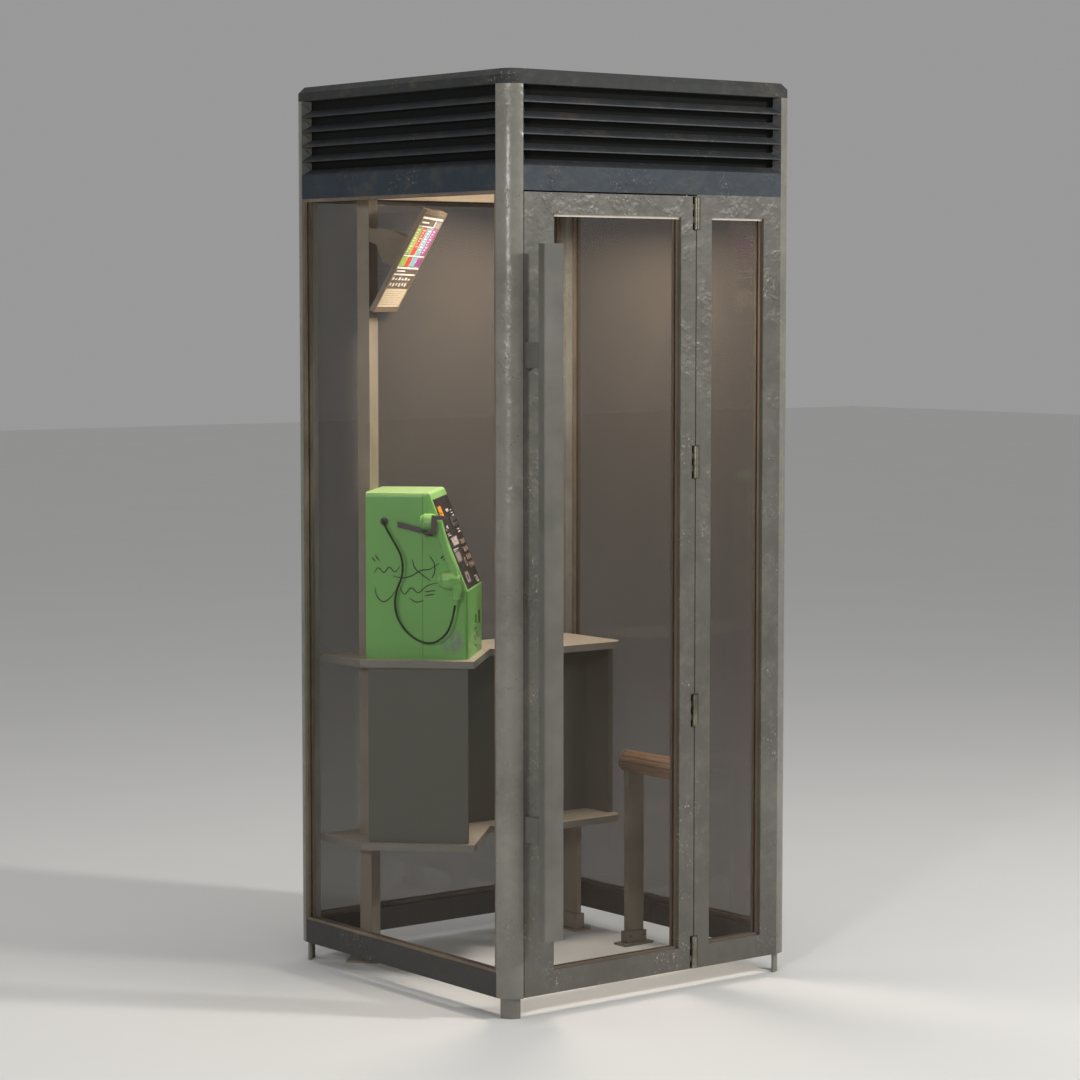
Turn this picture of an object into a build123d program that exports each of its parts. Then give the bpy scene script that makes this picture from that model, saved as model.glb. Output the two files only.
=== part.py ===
"""Telephone booth: a glazed square cabin with a swing door, a louvred roof and a corner card telephone.

Model frame, in millimetres: x = 0, y = 0 is the centre of the plan, z = 0 is the underside of the rails,
and the door is on the -Y side. Every part is moved by BASE as it is written, so that the written parts
have their origin at the bottom centre of the whole booth's box, standing on z = 0.
"""

import math
import os

from build123d import *

# --- Driving dimensions -------------------------------------------------------------------------------
SIDE = 900.0  # outside width and depth of the cabin
HALF = SIDE / 2
POST = 46.0  # post width, which is also the radius of its rounded outer corner
INNER = HALF - POST  # distance from the centre to the inner face of a post or rail
FOOT_H = 50.0  # the cabin stands this far above the ground
RAIL_H = 58.0  # bottom rail
HEADER_Z = 1902.0  # underside of the header rails
HEADER_TOP = 1960.0
CAP_Z = 2147.0  # underside of the roof cap
CAP_EDGE = 21.0  # upright edge of the cap
CAP_SLOPE = 15.0  # chamfer above it
ARC_EASE = 0.01  # a full corner arc is this much smaller, so that its straight sides keep a length
FOOT_R = 34.0  # outer radius and wall of the feet
FOOT_WALL = 6.0
WALL = 3.0  # sheet and tube wall
GLASS = 6.0
PANE_IN = 10.0  # the fixed panes stand this far inside the outer faces
BEAD = 8.0

LEAF_T = 36.0  # door and side panel thickness
LEAF_TOP = 1898.5
LEAF_BOTTOM = 1.0
PANEL_TOP = HEADER_Z
HINGE_X = 127.5  # joint line between the door and the side panel
GAP = 1.5  # half of the gap there
DOOR_STILE_L = 88.5
DOOR_STILE_R = 47.0
DOOR_RAIL = 54.0
PANEL_STILE_L = 48.0
PANEL_STILE_R = 56.0

HINGE_Y = -HALF - 1.0
KNUCKLE_R = 7.5
PIN_R = 3.5
HINGE_H = 77.0
KNUCKLES = 5
HINGE_POCKET = 12.0
HINGE_WEB = 15.0  # wall of the stiles that carry the hinges
HINGE_CENTRES = (1857.0, 1253.5, 643.0, 41.5)

BAR_W = 57.0
BAR_T = 26.0
BAR_GAP = 50.0
BAR_X = -371.5
BAR_Z = 146.0
BAR_LEN = 1632.0
BAR_ARMS = (404.0, 1520.0)
BAR_ARM_H = 61.0
BAR_ARM_X = (-399.0, -371.0)

SLATS = 4
SLAT_PITCH = 37.0
SLAT_REACH = 17.0  # how far a slat runs inwards, and how far it rises
SLAT_RISE = 14.5
SLAT_DROP = 2.8  # a slat's upright thickness
SILL_Z = 1960.0

LAMP = (-340.0, 330.0, -300.0, 240.0)  # x and y limits of the lamp opening
CEILING_Z = 1910.0

SHELF_Z = 743.0
LOW_SHELF_Z = 277.0
SHELF_T = 18.0
PANEL_T = 16.0
SHELF_FRONT_Y = 152.0
SHELF_CORNER = 24.0

# The telephone, its column and its sign stand at 45 degrees across the back left corner. Their own axes
# are u, towards the user, and w, towards the user's right.
WING_NEAR = -127.0  # w of the near edge of the telephone's part of the shelf
WING_FRONT = -153.0  # u of its front edge
WING_FAR = 164.0  # w of its far edge

SIGN_LOW = (-400.0, 1618.0)
SIGN_HIGH = (-265.0, 1871.0)
SIGN_W = (-155.0, 190.0)
SIGN_T = 12.0

PHONE_BACK = -434.0
PHONE_FRONT = -174.0
PHONE_KNEE_Z = 916.0
PHONE_SLOPE_TOP = (-267.0, 1152.0)
PHONE_TOP = 1165.0
PHONE_W0 = -89.0
PHONE_W1 = 171.0
PHONE_SEAM = -289.0
CASE_ROUND = 12.0
PHONE_MID = (PHONE_W0 + PHONE_W1) / 2
COLUMN_W = 128.0
COLUMN_T = 30.0
COLUMN_FRONT = PHONE_BACK - 0.5

FACE_W = 240.0
FACE_Y = (4.0, 247.0)
KEY_W = 19.0
KEY_H = 15.0
KEY_PITCH_X = 24.0
KEY_PITCH_Y = 21.0
KEY_CENTRE = (66.0, 88.0)
KEY_CLEAR = 0.4
KEY_PROUD = 3.0
PLATE_T = 2.5
WINDOW = (-25.0, 129.0, 96.0, 22.0)  # centre and size of the display, on the sloping face
CARD = (58.0, 176.0, 96.0, 26.0)  # the card slot's bezel
RETURN_W = (98.0, 130.0)  # the coin return in the lower face
RETURN_Z = (816.0, 851.0)
CARD_RETURN = (44.0, 72.0, 820.0, 844.0)
PIVOT_R = 0.8

HANDSET_W = -120.0
GRIP_PATH = [(-245.0, 1096.0), (-227.0, 1030.0), (-204.0, 972.0), (-196.0, 924.0), (-200.0, 898.0)]
GRIP_ARCS = (90.0, 90.0, 40.0)
GRIP_SIZE = (26.0, 22.0)
BOOT = (5.5, 14.0)  # radius and length of the sleeve where the cord enters the handset
EAR = (-234.0, 1092.0)
MOUTH = (-188.0, 948.0)
CUP_R = 22.5
CUP_NECK = (13.0, 26.0)  # radius of the neck, and how far along the cup it widens
CUP_LENGTH = 51.0
CUP_EASE = (8.0, 4.5)  # how the cup draws in towards its rim
CAP_R = 17.0
CAP_T = 3.0

HOOK_PIVOT = (-346.0, 1085.0)
HOOK_W = -92.0
HOOK_EDGE = -151.0  # the hook's outer face
HOOK_T = 3.0
TRAY_TOP = EAR[1] - CUP_R - 0.6

CORD_D = 6.0
# The cord's route, chosen by hand, as (u, w, z): out of the collar, down beside the case, round a hanging
# loop and up into the sleeve at the foot of the handset.
CORD_ROUTE = [
    (-386.0, -99.0, 1091.0),
    (-379.0, -119.0, 1080.0),
    (-358.0, -129.0, 1048.0),
    (-335.0, -125.0, 1006.0),
    (-334.0, -117.0, 960.0),
    (-352.0, -112.0, 920.0),
    (-358.0, -112.0, 877.0),
    (-343.0, -114.0, 833.0),
    (-308.0, -117.0, 797.0),
    (-261.0, -119.0, 783.0),
    (-224.0, -120.0, 808.0),
]
CORD_LAST_RUN = 38.0

RAIL_D = 60.0  # perch rail
RAIL_X = 350.0
RAIL_Z = 436.0
RAIL_Y = (-205.0, 82.0)
PERCH_POST_Y = (-180.0, 47.0)

BASE = Location((0.0, (BAR_GAP + BAR_T) / 2, FOOT_H))


# --- Helpers ------------------------------------------------------------------------------------------
def block(x0, x1, y0, y1, z0, z1):
    """A box between two corners."""
    centre = Pos((x0 + x1) / 2, (y0 + y1) / 2, (z0 + z1) / 2)
    return centre * Box(abs(x1 - x0), abs(y1 - y0), abs(z1 - z0))


def rod(point, axis, radius, length):
    """A cylinder of this length, starting at a point and running along an axis."""
    return extrude(Plane(origin=point, z_dir=axis) * Circle(radius), amount=length)


def outline(points, z0, z1):
    """A flat outline in plan, from z0 up to z1."""
    return extrude(Plane.XY.offset(z0) * make_face(Polyline(*points, close=True)), amount=z1 - z0)


def profile(points, w0, w1):
    """A (u, z) outline, from w0 to w1 across."""
    corners = [(u, w0, z) for u, z in points]
    return extrude(make_face(Polyline(*corners, close=True)), amount=w1 - w0, dir=(0, 1, 0))


def turned(shape):
    """From the telephone's own axes to the booth's."""
    return Rot(0, 0, -45) * shape


def group(shapes):
    """Several separate solids in one part."""
    solids = []
    for shape in shapes:
        solids.extend(shape.solids())
    return Compound(solids)


def around(shape):
    """The four copies of a shape, a quarter turn apart, starting with the one on the -Y side."""
    return [Rot(0, 0, 90 * quarter) * shape for quarter in range(4)]


def write(name, shape):
    """Write one part in the booth's finished position."""
    export_step(shape.moved(BASE), f"parts/{name}.step")


# --- Cabin frame --------------------------------------------------------------------------------------
def quarter_round(size):
    """A square with its outer corner, at -X -Y, rounded to a full quarter circle."""
    radius = size - ARC_EASE
    arc = RadiusArc((-size, -size + radius), (-size + radius, -size), -radius)
    lines = [Line((-size + radius, -size), (0, -size)), Line((0, -size), (0, 0)), Line((0, 0), (-size, 0))]
    return make_face([arc, *lines, Line((-size, 0), (-size, -size + radius))])


def corner_posts():
    """Four hollow quarter-round posts."""
    outer = Pos(-INNER, -INNER, 0) * extrude(quarter_round(POST), amount=CAP_Z)
    core = quarter_round(POST - 2 * WALL)
    inner = Pos(-INNER - WALL, -INNER - WALL, 0) * extrude(core, amount=CAP_Z)
    return group(around(outer - inner))


def feet():
    """A quarter-round sleeve under each post, its round side outwards, closed at the top by a plate."""
    sleeve = extrude(quarter_round(FOOT_R), amount=FOOT_H)
    hollow = extrude(quarter_round(FOOT_R - FOOT_WALL), amount=FOOT_H - FOOT_WALL)
    return group(around(Pos(-INNER, -INNER, -FOOT_H) * (sleeve - hollow)))


def tube_rail(z0, z1):
    """A hollow rail between the two posts of the -Y side."""
    outer = block(-INNER, INNER, -HALF, -INNER, z0, z1)
    inner = block(-INNER, INNER, -HALF + WALL, -INNER - WALL, z0 + WALL, z1 - WALL)
    return outer - inner


def base_rails():
    """Bottom rails on the three glazed sides."""
    return group(around(tube_rail(0, RAIL_H))[1:])


def header_rails():
    """Header rails on all four sides."""
    return group(around(tube_rail(HEADER_Z, HEADER_TOP)))


def gusset(x, inwards, z):
    """The small slanted face that closes one end of the gap above a slat."""
    low = (x, -HALF, z)
    high = (x, -HALF, z + SLAT_PITCH - SLAT_DROP - 0.2)
    back = (x, -HALF + SLAT_REACH, z + SLAT_RISE)
    tip = (x + inwards * SLAT_REACH, -HALF + SLAT_REACH, z + SLAT_RISE)
    corners = [(low, high, tip), (low, tip, back), (high, back, tip), (low, back, high)]
    faces = [make_face(Polyline(*corner, close=True)).face() for corner in corners]
    return Solid(Shell(faces))


def slat(z):
    """One sloping slat of the -Y side with a gusset at each end."""
    section = [(-HALF, z), (-HALF + SLAT_REACH, z + SLAT_RISE)]
    section += [(-HALF + SLAT_REACH, z + SLAT_RISE - SLAT_DROP), (-HALF, z - SLAT_DROP)]
    corners = [(-INNER, y, height) for y, height in section]
    blade = extrude(make_face(Polyline(*corners, close=True)), amount=2 * INNER, dir=(1, 0, 0))
    return blade + gusset(-INNER, 1, z) + gusset(INNER, -1, z)


def louvre():
    """The slats of the -Y side, and the sloping sill that they stand over."""
    slats = [slat(SILL_Z + SLAT_PITCH * (step + 1)) for step in range(SLATS)]
    corners = [(-INNER, -HALF, SILL_Z), (-INNER, -HALF + SLAT_REACH, SILL_Z + SLAT_RISE)]
    corners += [(-INNER, -HALF + SLAT_REACH + WALL, SILL_Z + SLAT_RISE), (-INNER, -INNER, SILL_Z)]
    sill = extrude(make_face(Polyline(*corners, close=True)), amount=2 * INNER, dir=(1, 0, 0))
    sill = sill + gusset(-INNER, 1, SILL_Z) + gusset(INNER, -1, SILL_Z)
    return [sill, *slats]


def roof_cap():
    """A roof pan with an upright edge, a chamfer and a raised underside between the posts."""
    plan = RectangleRounded(SIDE, SIDE, POST)
    height = CAP_EDGE + CAP_SLOPE
    slab = extrude(Plane.XY.offset(CAP_Z) * plan, amount=height)
    slab = chamfer(slab.faces().sort_by(Axis.Z)[-1].edges(), CAP_SLOPE)
    pocket = block(-INNER, INNER, -INNER, INNER, CAP_Z, CAP_Z + height - WALL)
    return slab - pocket


def ceiling_panel():
    """The lining between the header rails, with the lamp opening."""
    panel = block(-INNER, INNER, -INNER, INNER, CEILING_Z, CEILING_Z + 4.0)
    x0, x1, y0, y1 = LAMP
    return panel - block(x0, x1, y0, y1, CEILING_Z, CEILING_Z + 4.0)


def lamp_housing():
    """A tray above the opening, on a flange that rests on the ceiling panel."""
    x0, x1, y0, y1 = LAMP
    base = CEILING_Z + 4.0
    flange = block(x0 - 20, x1 + 20, y0 - 20, y1 + 20, base, base + 2.0)
    tray = block(x0, x1, y0, y1, base, base + 70.0)
    hollow = block(x0 + 2, x1 - 2, y0 + 2, y1 - 2, base, base + 68.0)
    return flange + tray - hollow


def lamp_tubes():
    """Two fluorescent tubes with their end caps, and the holders that hang them in the tray."""
    shapes = []
    height = CEILING_Z + 45.0
    for y in (-50.0, 150.0):
        shapes.append(rod((-280, y, height), (1, 0, 0), 13.0, 560.0))
        for x0, x1 in ((-290.0, -280.0), (280.0, 290.0)):
            shapes.append(block(x0, x1, y - 16, y + 16, height - 18, CEILING_Z + 72.0))
    return group(shapes)


def lamp_diffuser():
    """An opal tray that drops a little below the ceiling."""
    x0, x1, y0, y1 = LAMP
    tray = block(x0 + 1, x1 - 1, y0 + 1, y1 - 1, CEILING_Z - 11.0, CEILING_Z + 4.0)
    tray = fillet(tray.edges().filter_by(Axis.Z), 12.0)
    hollow = block(x0 + 4, x1 - 4, y0 + 4, y1 - 4, CEILING_Z - 8.0, CEILING_Z + 4.0)
    lip = block(x0 - 4, x1 + 4, y0 - 4, y1 + 4, CEILING_Z - 2.0, CEILING_Z)
    return tray + lip - hollow


def wall_glass():
    """Glass on the three fixed sides."""
    face = -HALF + PANE_IN
    pane = block(-INNER, INNER, face, face + GLASS, RAIL_H, HEADER_Z)
    return group(around(pane)[1:])


def bead_frame(x0, x1, z0, z1, y0, y1, width):
    """Four straight beads that run round a glass, as separate lengths."""
    sides = [block(x0, x0 + width, y0, y1, z0, z1), block(x1 - width, x1, y0, y1, z0, z1)]
    sides += [block(x0 + width, x1 - width, y0, y1, z0, z0 + width)]
    sides += [block(x0 + width, x1 - width, y0, y1, z1 - width, z1)]
    return sides


def wall_beads():
    """Glazing beads on the outside and inside of the three fixed glasses."""
    face = -HALF + PANE_IN
    back = face + GLASS
    outside = bead_frame(-INNER, INNER, RAIL_H, HEADER_Z, face - BEAD, face, BEAD)
    inside = bead_frame(-INNER, INNER, RAIL_H, HEADER_Z, back, back + BEAD, BEAD)
    return group([copy for bead in outside + inside for copy in around(bead)[1:]])


# --- Door and side panel ------------------------------------------------------------------------------
def hollow_bar(x0, x1, z0, z1, wall_left, wall_right):
    """A closed bar as deep as a leaf, with its own wall on either side."""
    y0 = -HALF
    y1 = -HALF + LEAF_T
    hollow = block(x0 + wall_left, x1 - wall_right, y0 + WALL, y1 - WALL, z0 + WALL, z1 - WALL)
    return block(x0, x1, y0, y1, z0, z1) - hollow


def leaf_rails(left, right, z0, z1):
    """The two rails of a leaf."""
    lower = hollow_bar(left, right, z0, RAIL_H - 2, WALL, WALL)
    upper = hollow_bar(left, right, HEADER_Z - DOOR_RAIL, z1, WALL, WALL)
    return [lower, upper]


def hinge_pockets():
    """The space that the hinges take out of the door and the side panel."""
    pockets = []
    for centre in HINGE_CENTRES:
        z0 = centre - HINGE_H / 2 - 1.0
        z1 = centre + HINGE_H / 2 + 2.0
        low = HINGE_X - HINGE_POCKET
        high = HINGE_X + HINGE_POCKET
        pockets.append(block(low, high, -HALF - 1, -HALF + HINGE_POCKET, z0, z1))
    return pockets


def cut_all(shape, tools):
    """Cut each tool out of a shape in turn."""
    for tool in tools:
        shape = shape - tool
    return shape


DOOR_X0 = -INNER + 2.5
DOOR_X1 = HINGE_X - GAP
PANEL_X0 = HINGE_X + GAP


def door_frame():
    """The door's stiles and rails."""
    left = DOOR_X0 + DOOR_STILE_L
    right = DOOR_X1 - DOOR_STILE_R
    free_stile = hollow_bar(DOOR_X0, left, LEAF_BOTTOM, LEAF_TOP, WALL, WALL)
    hinge_stile = hollow_bar(right, DOOR_X1, LEAF_BOTTOM, LEAF_TOP, WALL, HINGE_WEB)
    hinge_stile = cut_all(hinge_stile, hinge_pockets())
    return group([free_stile, hinge_stile, *leaf_rails(left, right, LEAF_BOTTOM, LEAF_TOP)])


def side_panel_frame():
    """The fixed panel's stiles and rails."""
    left = PANEL_X0 + PANEL_STILE_L
    right = INNER - PANEL_STILE_R
    hinge_stile = hollow_bar(PANEL_X0, left, 0, PANEL_TOP, HINGE_WEB, WALL)
    hinge_stile = cut_all(hinge_stile, hinge_pockets())
    fixed_stile = hollow_bar(right, INNER, 0, PANEL_TOP, WALL, WALL)
    return group([hinge_stile, fixed_stile, *leaf_rails(left, right, 0, PANEL_TOP)])


def leaf_glass(x0, x1):
    """One pane in the middle of a leaf."""
    mid = -HALF + LEAF_T / 2
    return block(x0, x1, mid - GLASS / 2, mid + GLASS / 2, RAIL_H - 2, HEADER_Z - DOOR_RAIL)


def leaf_beads(x0, x1):
    """Beads on both faces of a leaf's glass."""
    mid = -HALF + LEAF_T / 2
    z0 = RAIL_H - 2
    z1 = HEADER_Z - DOOR_RAIL
    front = bead_frame(x0, x1, z0, z1, mid - GLASS / 2 - 7, mid - GLASS / 2, 5.0)
    back = bead_frame(x0, x1, z0, z1, mid + GLASS / 2, mid + GLASS / 2 + 7, 5.0)
    return group(front + back)


def knuckle_z(index, centre):
    """Bottom and top of one knuckle, counted from the bottom of its hinge."""
    pitch = HINGE_H / KNUCKLES
    bottom = centre - HINGE_H / 2 + index * pitch
    return bottom + 0.25, bottom + pitch - 0.25


def knuckle(index, centre, side, bore):
    """A barrel and the web that ties it to its leaf, on the door's side (-1) or the panel's (+1)."""
    z0, z1 = knuckle_z(index, centre)
    barrel = rod((HINGE_X, HINGE_Y, z0), (0, 0, 1), KNUCKLE_R, z1 - z0)
    edge = HINGE_X + side * HINGE_POCKET
    web = block(HINGE_X, edge, HINGE_Y + 2.0, HINGE_Y + 6.0, z0, z1)
    return barrel + web - rod((HINGE_X, HINGE_Y, z0), (0, 0, 1), bore, z1 - z0)


def hinge_knuckles(side, first, bore):
    """Every second knuckle of each hinge."""
    shapes = []
    for centre in HINGE_CENTRES:
        for index in range(first, KNUCKLES, 2):
            shapes.append(knuckle(index, centre, side, bore))
    return group(shapes)


def hinge_pins():
    """One pin in each hinge, with a small head at its top."""
    pins = []
    for centre in HINGE_CENTRES:
        bottom = centre - HINGE_H / 2
        pin = rod((HINGE_X, HINGE_Y, bottom), (0, 0, 1), PIN_R, HINGE_H)
        head = rod((HINGE_X, HINGE_Y, bottom + HINGE_H), (0, 0, 1), 5.0, 1.5)
        pins.append(pin + head)
    return group(pins)


def pull_bar():
    """The long flat bar that opens the door."""
    y1 = -HALF - BAR_GAP
    bar = block(BAR_X - BAR_W / 2, BAR_X + BAR_W / 2, y1 - BAR_T, y1, BAR_Z, BAR_Z + BAR_LEN)
    return chamfer(bar.edges().filter_by(Axis.Z), 2.0)


def pull_bar_arms():
    """Two arms that hold the bar off the door."""
    arms = []
    for centre in BAR_ARMS:
        z0 = centre - BAR_ARM_H / 2
        arms.append(block(*BAR_ARM_X, -HALF - BAR_GAP, -HALF, z0, z0 + BAR_ARM_H))
    return group(arms)


# --- Shelves, column and perch rail -------------------------------------------------------------------
def plan(u, w):
    """A point of the turned axes, in plan."""
    return ((u + w) / math.sqrt(2), (w - u) / math.sqrt(2))


def column_slot(z0, z1):
    """The space round the column, with a little room."""
    back = COLUMN_FRONT - COLUMN_T
    side = COLUMN_W / 2 + 0.5
    return turned(block(back - 0.5, COLUMN_FRONT + 0.5, PHONE_MID - side, PHONE_MID + side, z0, z1))


def shelf(top):
    """A shelf that fills the back of the cabin and turns out under the telephone."""
    wall = INNER - 0.5
    wing_root = (-wall, WING_NEAR * math.sqrt(2) + wall)
    far_corner = plan(WING_FRONT, WING_FAR)
    run_out = (WING_FAR * math.sqrt(2) - SHELF_FRONT_Y, SHELF_FRONT_Y)
    points = [(-wall, wall), wing_root, plan(WING_FRONT, WING_NEAR), far_corner, run_out]
    points += [(wall - SHELF_CORNER, SHELF_FRONT_Y), (wall, SHELF_FRONT_Y + SHELF_CORNER), (wall, wall)]
    board = outline(points, top - SHELF_T, top)
    return board - column_slot(top - SHELF_T, top)


def cabinet_side_left():
    """The upright board under the near edge of the telephone's shelf."""
    w0 = WING_NEAR + 14.0
    return turned(block(-425.0, WING_FRONT - 18.0, w0, w0 + PANEL_T, LOW_SHELF_Z, SHELF_Z - SHELF_T))


def cabinet_side_right():
    """The upright board along the right wall."""
    wall = INNER - 4.0
    return block(wall - PANEL_T, wall, SHELF_FRONT_Y + 45, 292.0, LOW_SHELF_Z, SHELF_Z - SHELF_T)


def cabinet_back():
    """The upright board behind the open compartment."""
    return block(-20.0, INNER - 4.0, 292.0, 292.0 + PANEL_T, LOW_SHELF_Z, SHELF_Z - SHELF_T)


def back_column():
    """The flat column that carries the telephone and the sign, on a foot plate with two anchor holes."""
    w0 = PHONE_MID - COLUMN_W / 2
    w1 = PHONE_MID + COLUMN_W / 2
    back = COLUMN_FRONT - COLUMN_T
    outer = block(back, COLUMN_FRONT, w0, w1, -FOOT_H + 6.0, CEILING_Z)
    inner = block(back + WALL, COLUMN_FRONT - WALL, w0 + WALL, w1 - WALL, -FOOT_H + 6.0, CEILING_Z)
    plate = block(-498.0, -415.0, w0 - 22.0, w1 + 22.0, -FOOT_H, -FOOT_H + 6.0)
    for w in (w0 - 11.0, w1 + 11.0):
        plate = plate - rod(((-498.0 - 415.0) / 2, w, -FOOT_H), (0, 0, 1), 5.5, 6.0)
    return turned(outer - inner + plate)


def shelf_leg():
    """A flat leg under the right end of the shelf, in a shoe on a foot plate."""
    top = LOW_SHELF_Z - SHELF_T
    leg = block(338.0, 352.0, 272.0, 352.0, -FOOT_H + 6.0, top)
    shoe = block(332.0, 358.0, 266.0, 358.0, -FOOT_H + 6.0, -FOOT_H + 46.0)
    plate = block(320.0, 375.0, 258.0, 366.0, -FOOT_H, -FOOT_H + 6.0)
    return leg + shoe + plate


def perch_rail():
    """The round rail to lean on, with an end cap at each end."""
    length = RAIL_Y[1] - RAIL_Y[0]
    bar = rod((RAIL_X, RAIL_Y[0], RAIL_Z), (0, 1, 0), RAIL_D / 2, length)
    return fillet(bar.edges().filter_by(GeomType.CIRCLE), 6.0)


def perch_posts():
    """Two flat posts that end in a saddle under the rail, each in a shoe on a foot plate."""
    posts = []
    for y in PERCH_POST_Y:
        bar = block(RAIL_X - 26.5, RAIL_X + 26.5, y - 8, y + 8, -FOOT_H + 6.0, RAIL_Z)
        shoe = block(RAIL_X - 32.0, RAIL_X + 32.0, y - 14, y + 14, -FOOT_H + 6.0, -FOOT_H + 36.0)
        plate = block(RAIL_X - 49.0, RAIL_X + 49.0, y - 23, y + 23, -FOOT_H, -FOOT_H + 6.0)
        for x in (RAIL_X - 40.5, RAIL_X + 40.5):
            plate = plate - rod((x, y, -FOOT_H), (0, 0, 1), 4.5, 6.0)
        seat = rod((RAIL_X, y - 8, RAIL_Z), (0, 1, 0), RAIL_D / 2, 16.0)
        posts.append(bar + shoe + plate - seat)
    return group(posts)


# --- Sign ---------------------------------------------------------------------------------------------
def sign_plane():
    """Plane of the sign's face: x across, y up the face, z out of it."""
    du = SIGN_HIGH[0] - SIGN_LOW[0]
    dz = SIGN_HIGH[1] - SIGN_LOW[1]
    length = math.hypot(du, dz)
    middle = ((SIGN_LOW[0] + SIGN_HIGH[0]) / 2, sum(SIGN_W) / 2, (SIGN_LOW[1] + SIGN_HIGH[1]) / 2)
    return Plane(origin=middle, x_dir=(0, 1, 0), z_dir=(dz / length, 0, -du / length)), length


def sign_frame():
    """The sign's tray, with a shallow recess for its face."""
    plane, length = sign_plane()
    width = SIGN_W[1] - SIGN_W[0]
    tray = extrude(plane * Rectangle(width, length), amount=-SIGN_T)
    recess = extrude(plane * Rectangle(width - 24, length - 24), amount=-3.0)
    return turned(tray - recess)


def sign_face():
    """The printed sheet in the tray."""
    plane, length = sign_plane()
    width = SIGN_W[1] - SIGN_W[0]
    return turned(extrude(plane.offset(-3.0) * Rectangle(width - 24.4, length - 24.4), amount=2.0))


def sign_bracket():
    """A folded arm from the column to the back of the sign."""
    du = SIGN_HIGH[0] - SIGN_LOW[0]
    dz = SIGN_HIGH[1] - SIGN_LOW[1]
    length = math.hypot(du, dz)
    along = (du / length, dz / length)
    out = (dz / length, -du / length)
    def back_point(distance):
        u = SIGN_LOW[0] + along[0] * distance - out[0] * SIGN_T
        z = SIGN_LOW[1] + along[1] * distance - out[1] * SIGN_T
        return (u, z)
    points = [(COLUMN_FRONT, 1795.0), (COLUMN_FRONT, 1828.0), (-392.0, 1828.0)]
    points += [back_point(198.0), back_point(118.0), (-400.0, 1742.0), (-416.0, 1788.0)]
    arms = [profile(points, w, w + 6.0) for w in (-20.0, 96.0)]
    wall_plate = block(COLUMN_FRONT, COLUMN_FRONT + 4.0, -20.0, 102.0, 1795.0, 1828.0)
    return turned(arms[0] + arms[1] + wall_plate)


# --- Telephone ----------------------------------------------------------------------------------------
def phone_outline(inset):
    """The (u, z) outline of the case, moved inwards by a wall thickness."""
    slope = math.atan2(PHONE_SLOPE_TOP[1] - PHONE_KNEE_Z, PHONE_FRONT - PHONE_SLOPE_TOP[0])
    front = PHONE_FRONT - inset
    knee = (front, PHONE_KNEE_Z - inset * math.tan((math.pi / 2 - slope) / 2))
    top_z = PHONE_TOP - inset
    run = (top_z - knee[1]) / math.tan(slope)
    base = SHELF_Z + inset
    back = PHONE_BACK + inset
    return [(back, base), (front, base), knee, (front - run, top_z), (back, top_z)]


def phone_solid():
    """The whole outer shape, with its edges rounded."""
    body = profile(phone_outline(0.0), PHONE_W0, PHONE_W1)
    sides = [edge for edge in body.edges() if abs(edge.center().Y - PHONE_MID) > 100]
    soft = [edge for edge in sides if edge.center().Z > SHELF_Z + 1 and edge.center().X > PHONE_BACK + 1]
    body = fillet(soft, CASE_ROUND)
    ridge = body.edges().filter_by(Axis.Y)
    crest = [edge for edge in ridge if edge.center().Z > PHONE_TOP - 12 and edge.center().X > -330]
    return fillet(crest, 11.0) if crest else body


def phone_hollow():
    """The space inside the case."""
    return profile(phone_outline(WALL), PHONE_W0 + WALL, PHONE_W1 - WALL)


def phone_rear_case():
    """The half of the case that is fixed to the column."""
    keep = block(PHONE_BACK - 5, PHONE_SEAM - 0.4, -200, 300, SHELF_Z - 5, PHONE_TOP + 5)
    return turned((phone_solid() & keep) - phone_hollow())


def face_plane():
    """Plane of the sloping face: x across, y up the slope, z out of it."""
    points = phone_outline(0.0)
    du = points[3][0] - points[2][0]
    dz = points[3][1] - points[2][1]
    length = math.hypot(du, dz)
    origin = (points[2][0], PHONE_MID, points[2][1])
    return Plane(origin=origin, x_dir=(0, 1, 0), z_dir=(dz / length, 0, -du / length))


def face_panel(grow, depth, amount):
    """The faceplate's rectangle, grown a little, from a depth below the face outwards."""
    height = FACE_Y[1] - FACE_Y[0]
    sketch = Pos(0, sum(FACE_Y) / 2) * RectangleRounded(FACE_W + grow, height + grow, 4.0)
    return extrude(face_plane().offset(-depth) * sketch, amount=amount)


def key_places():
    """Centres of the twelve keys on the sloping face, row by row from the top left."""
    places = []
    for row in range(4):
        for column in range(3):
            x = KEY_CENTRE[0] + (column - 1) * KEY_PITCH_X
            y = KEY_CENTRE[1] + (1.5 - row) * KEY_PITCH_Y
            places.append((x, y))
    return places


def key_window():
    """The opening behind the keys, through the case wall."""
    width = 3 * KEY_PITCH_X + 6
    height = 4 * KEY_PITCH_Y + 6
    sketch = Pos(*KEY_CENTRE) * Rectangle(width, height)
    return extrude(face_plane().offset(-20.0) * sketch, amount=25.0)


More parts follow.
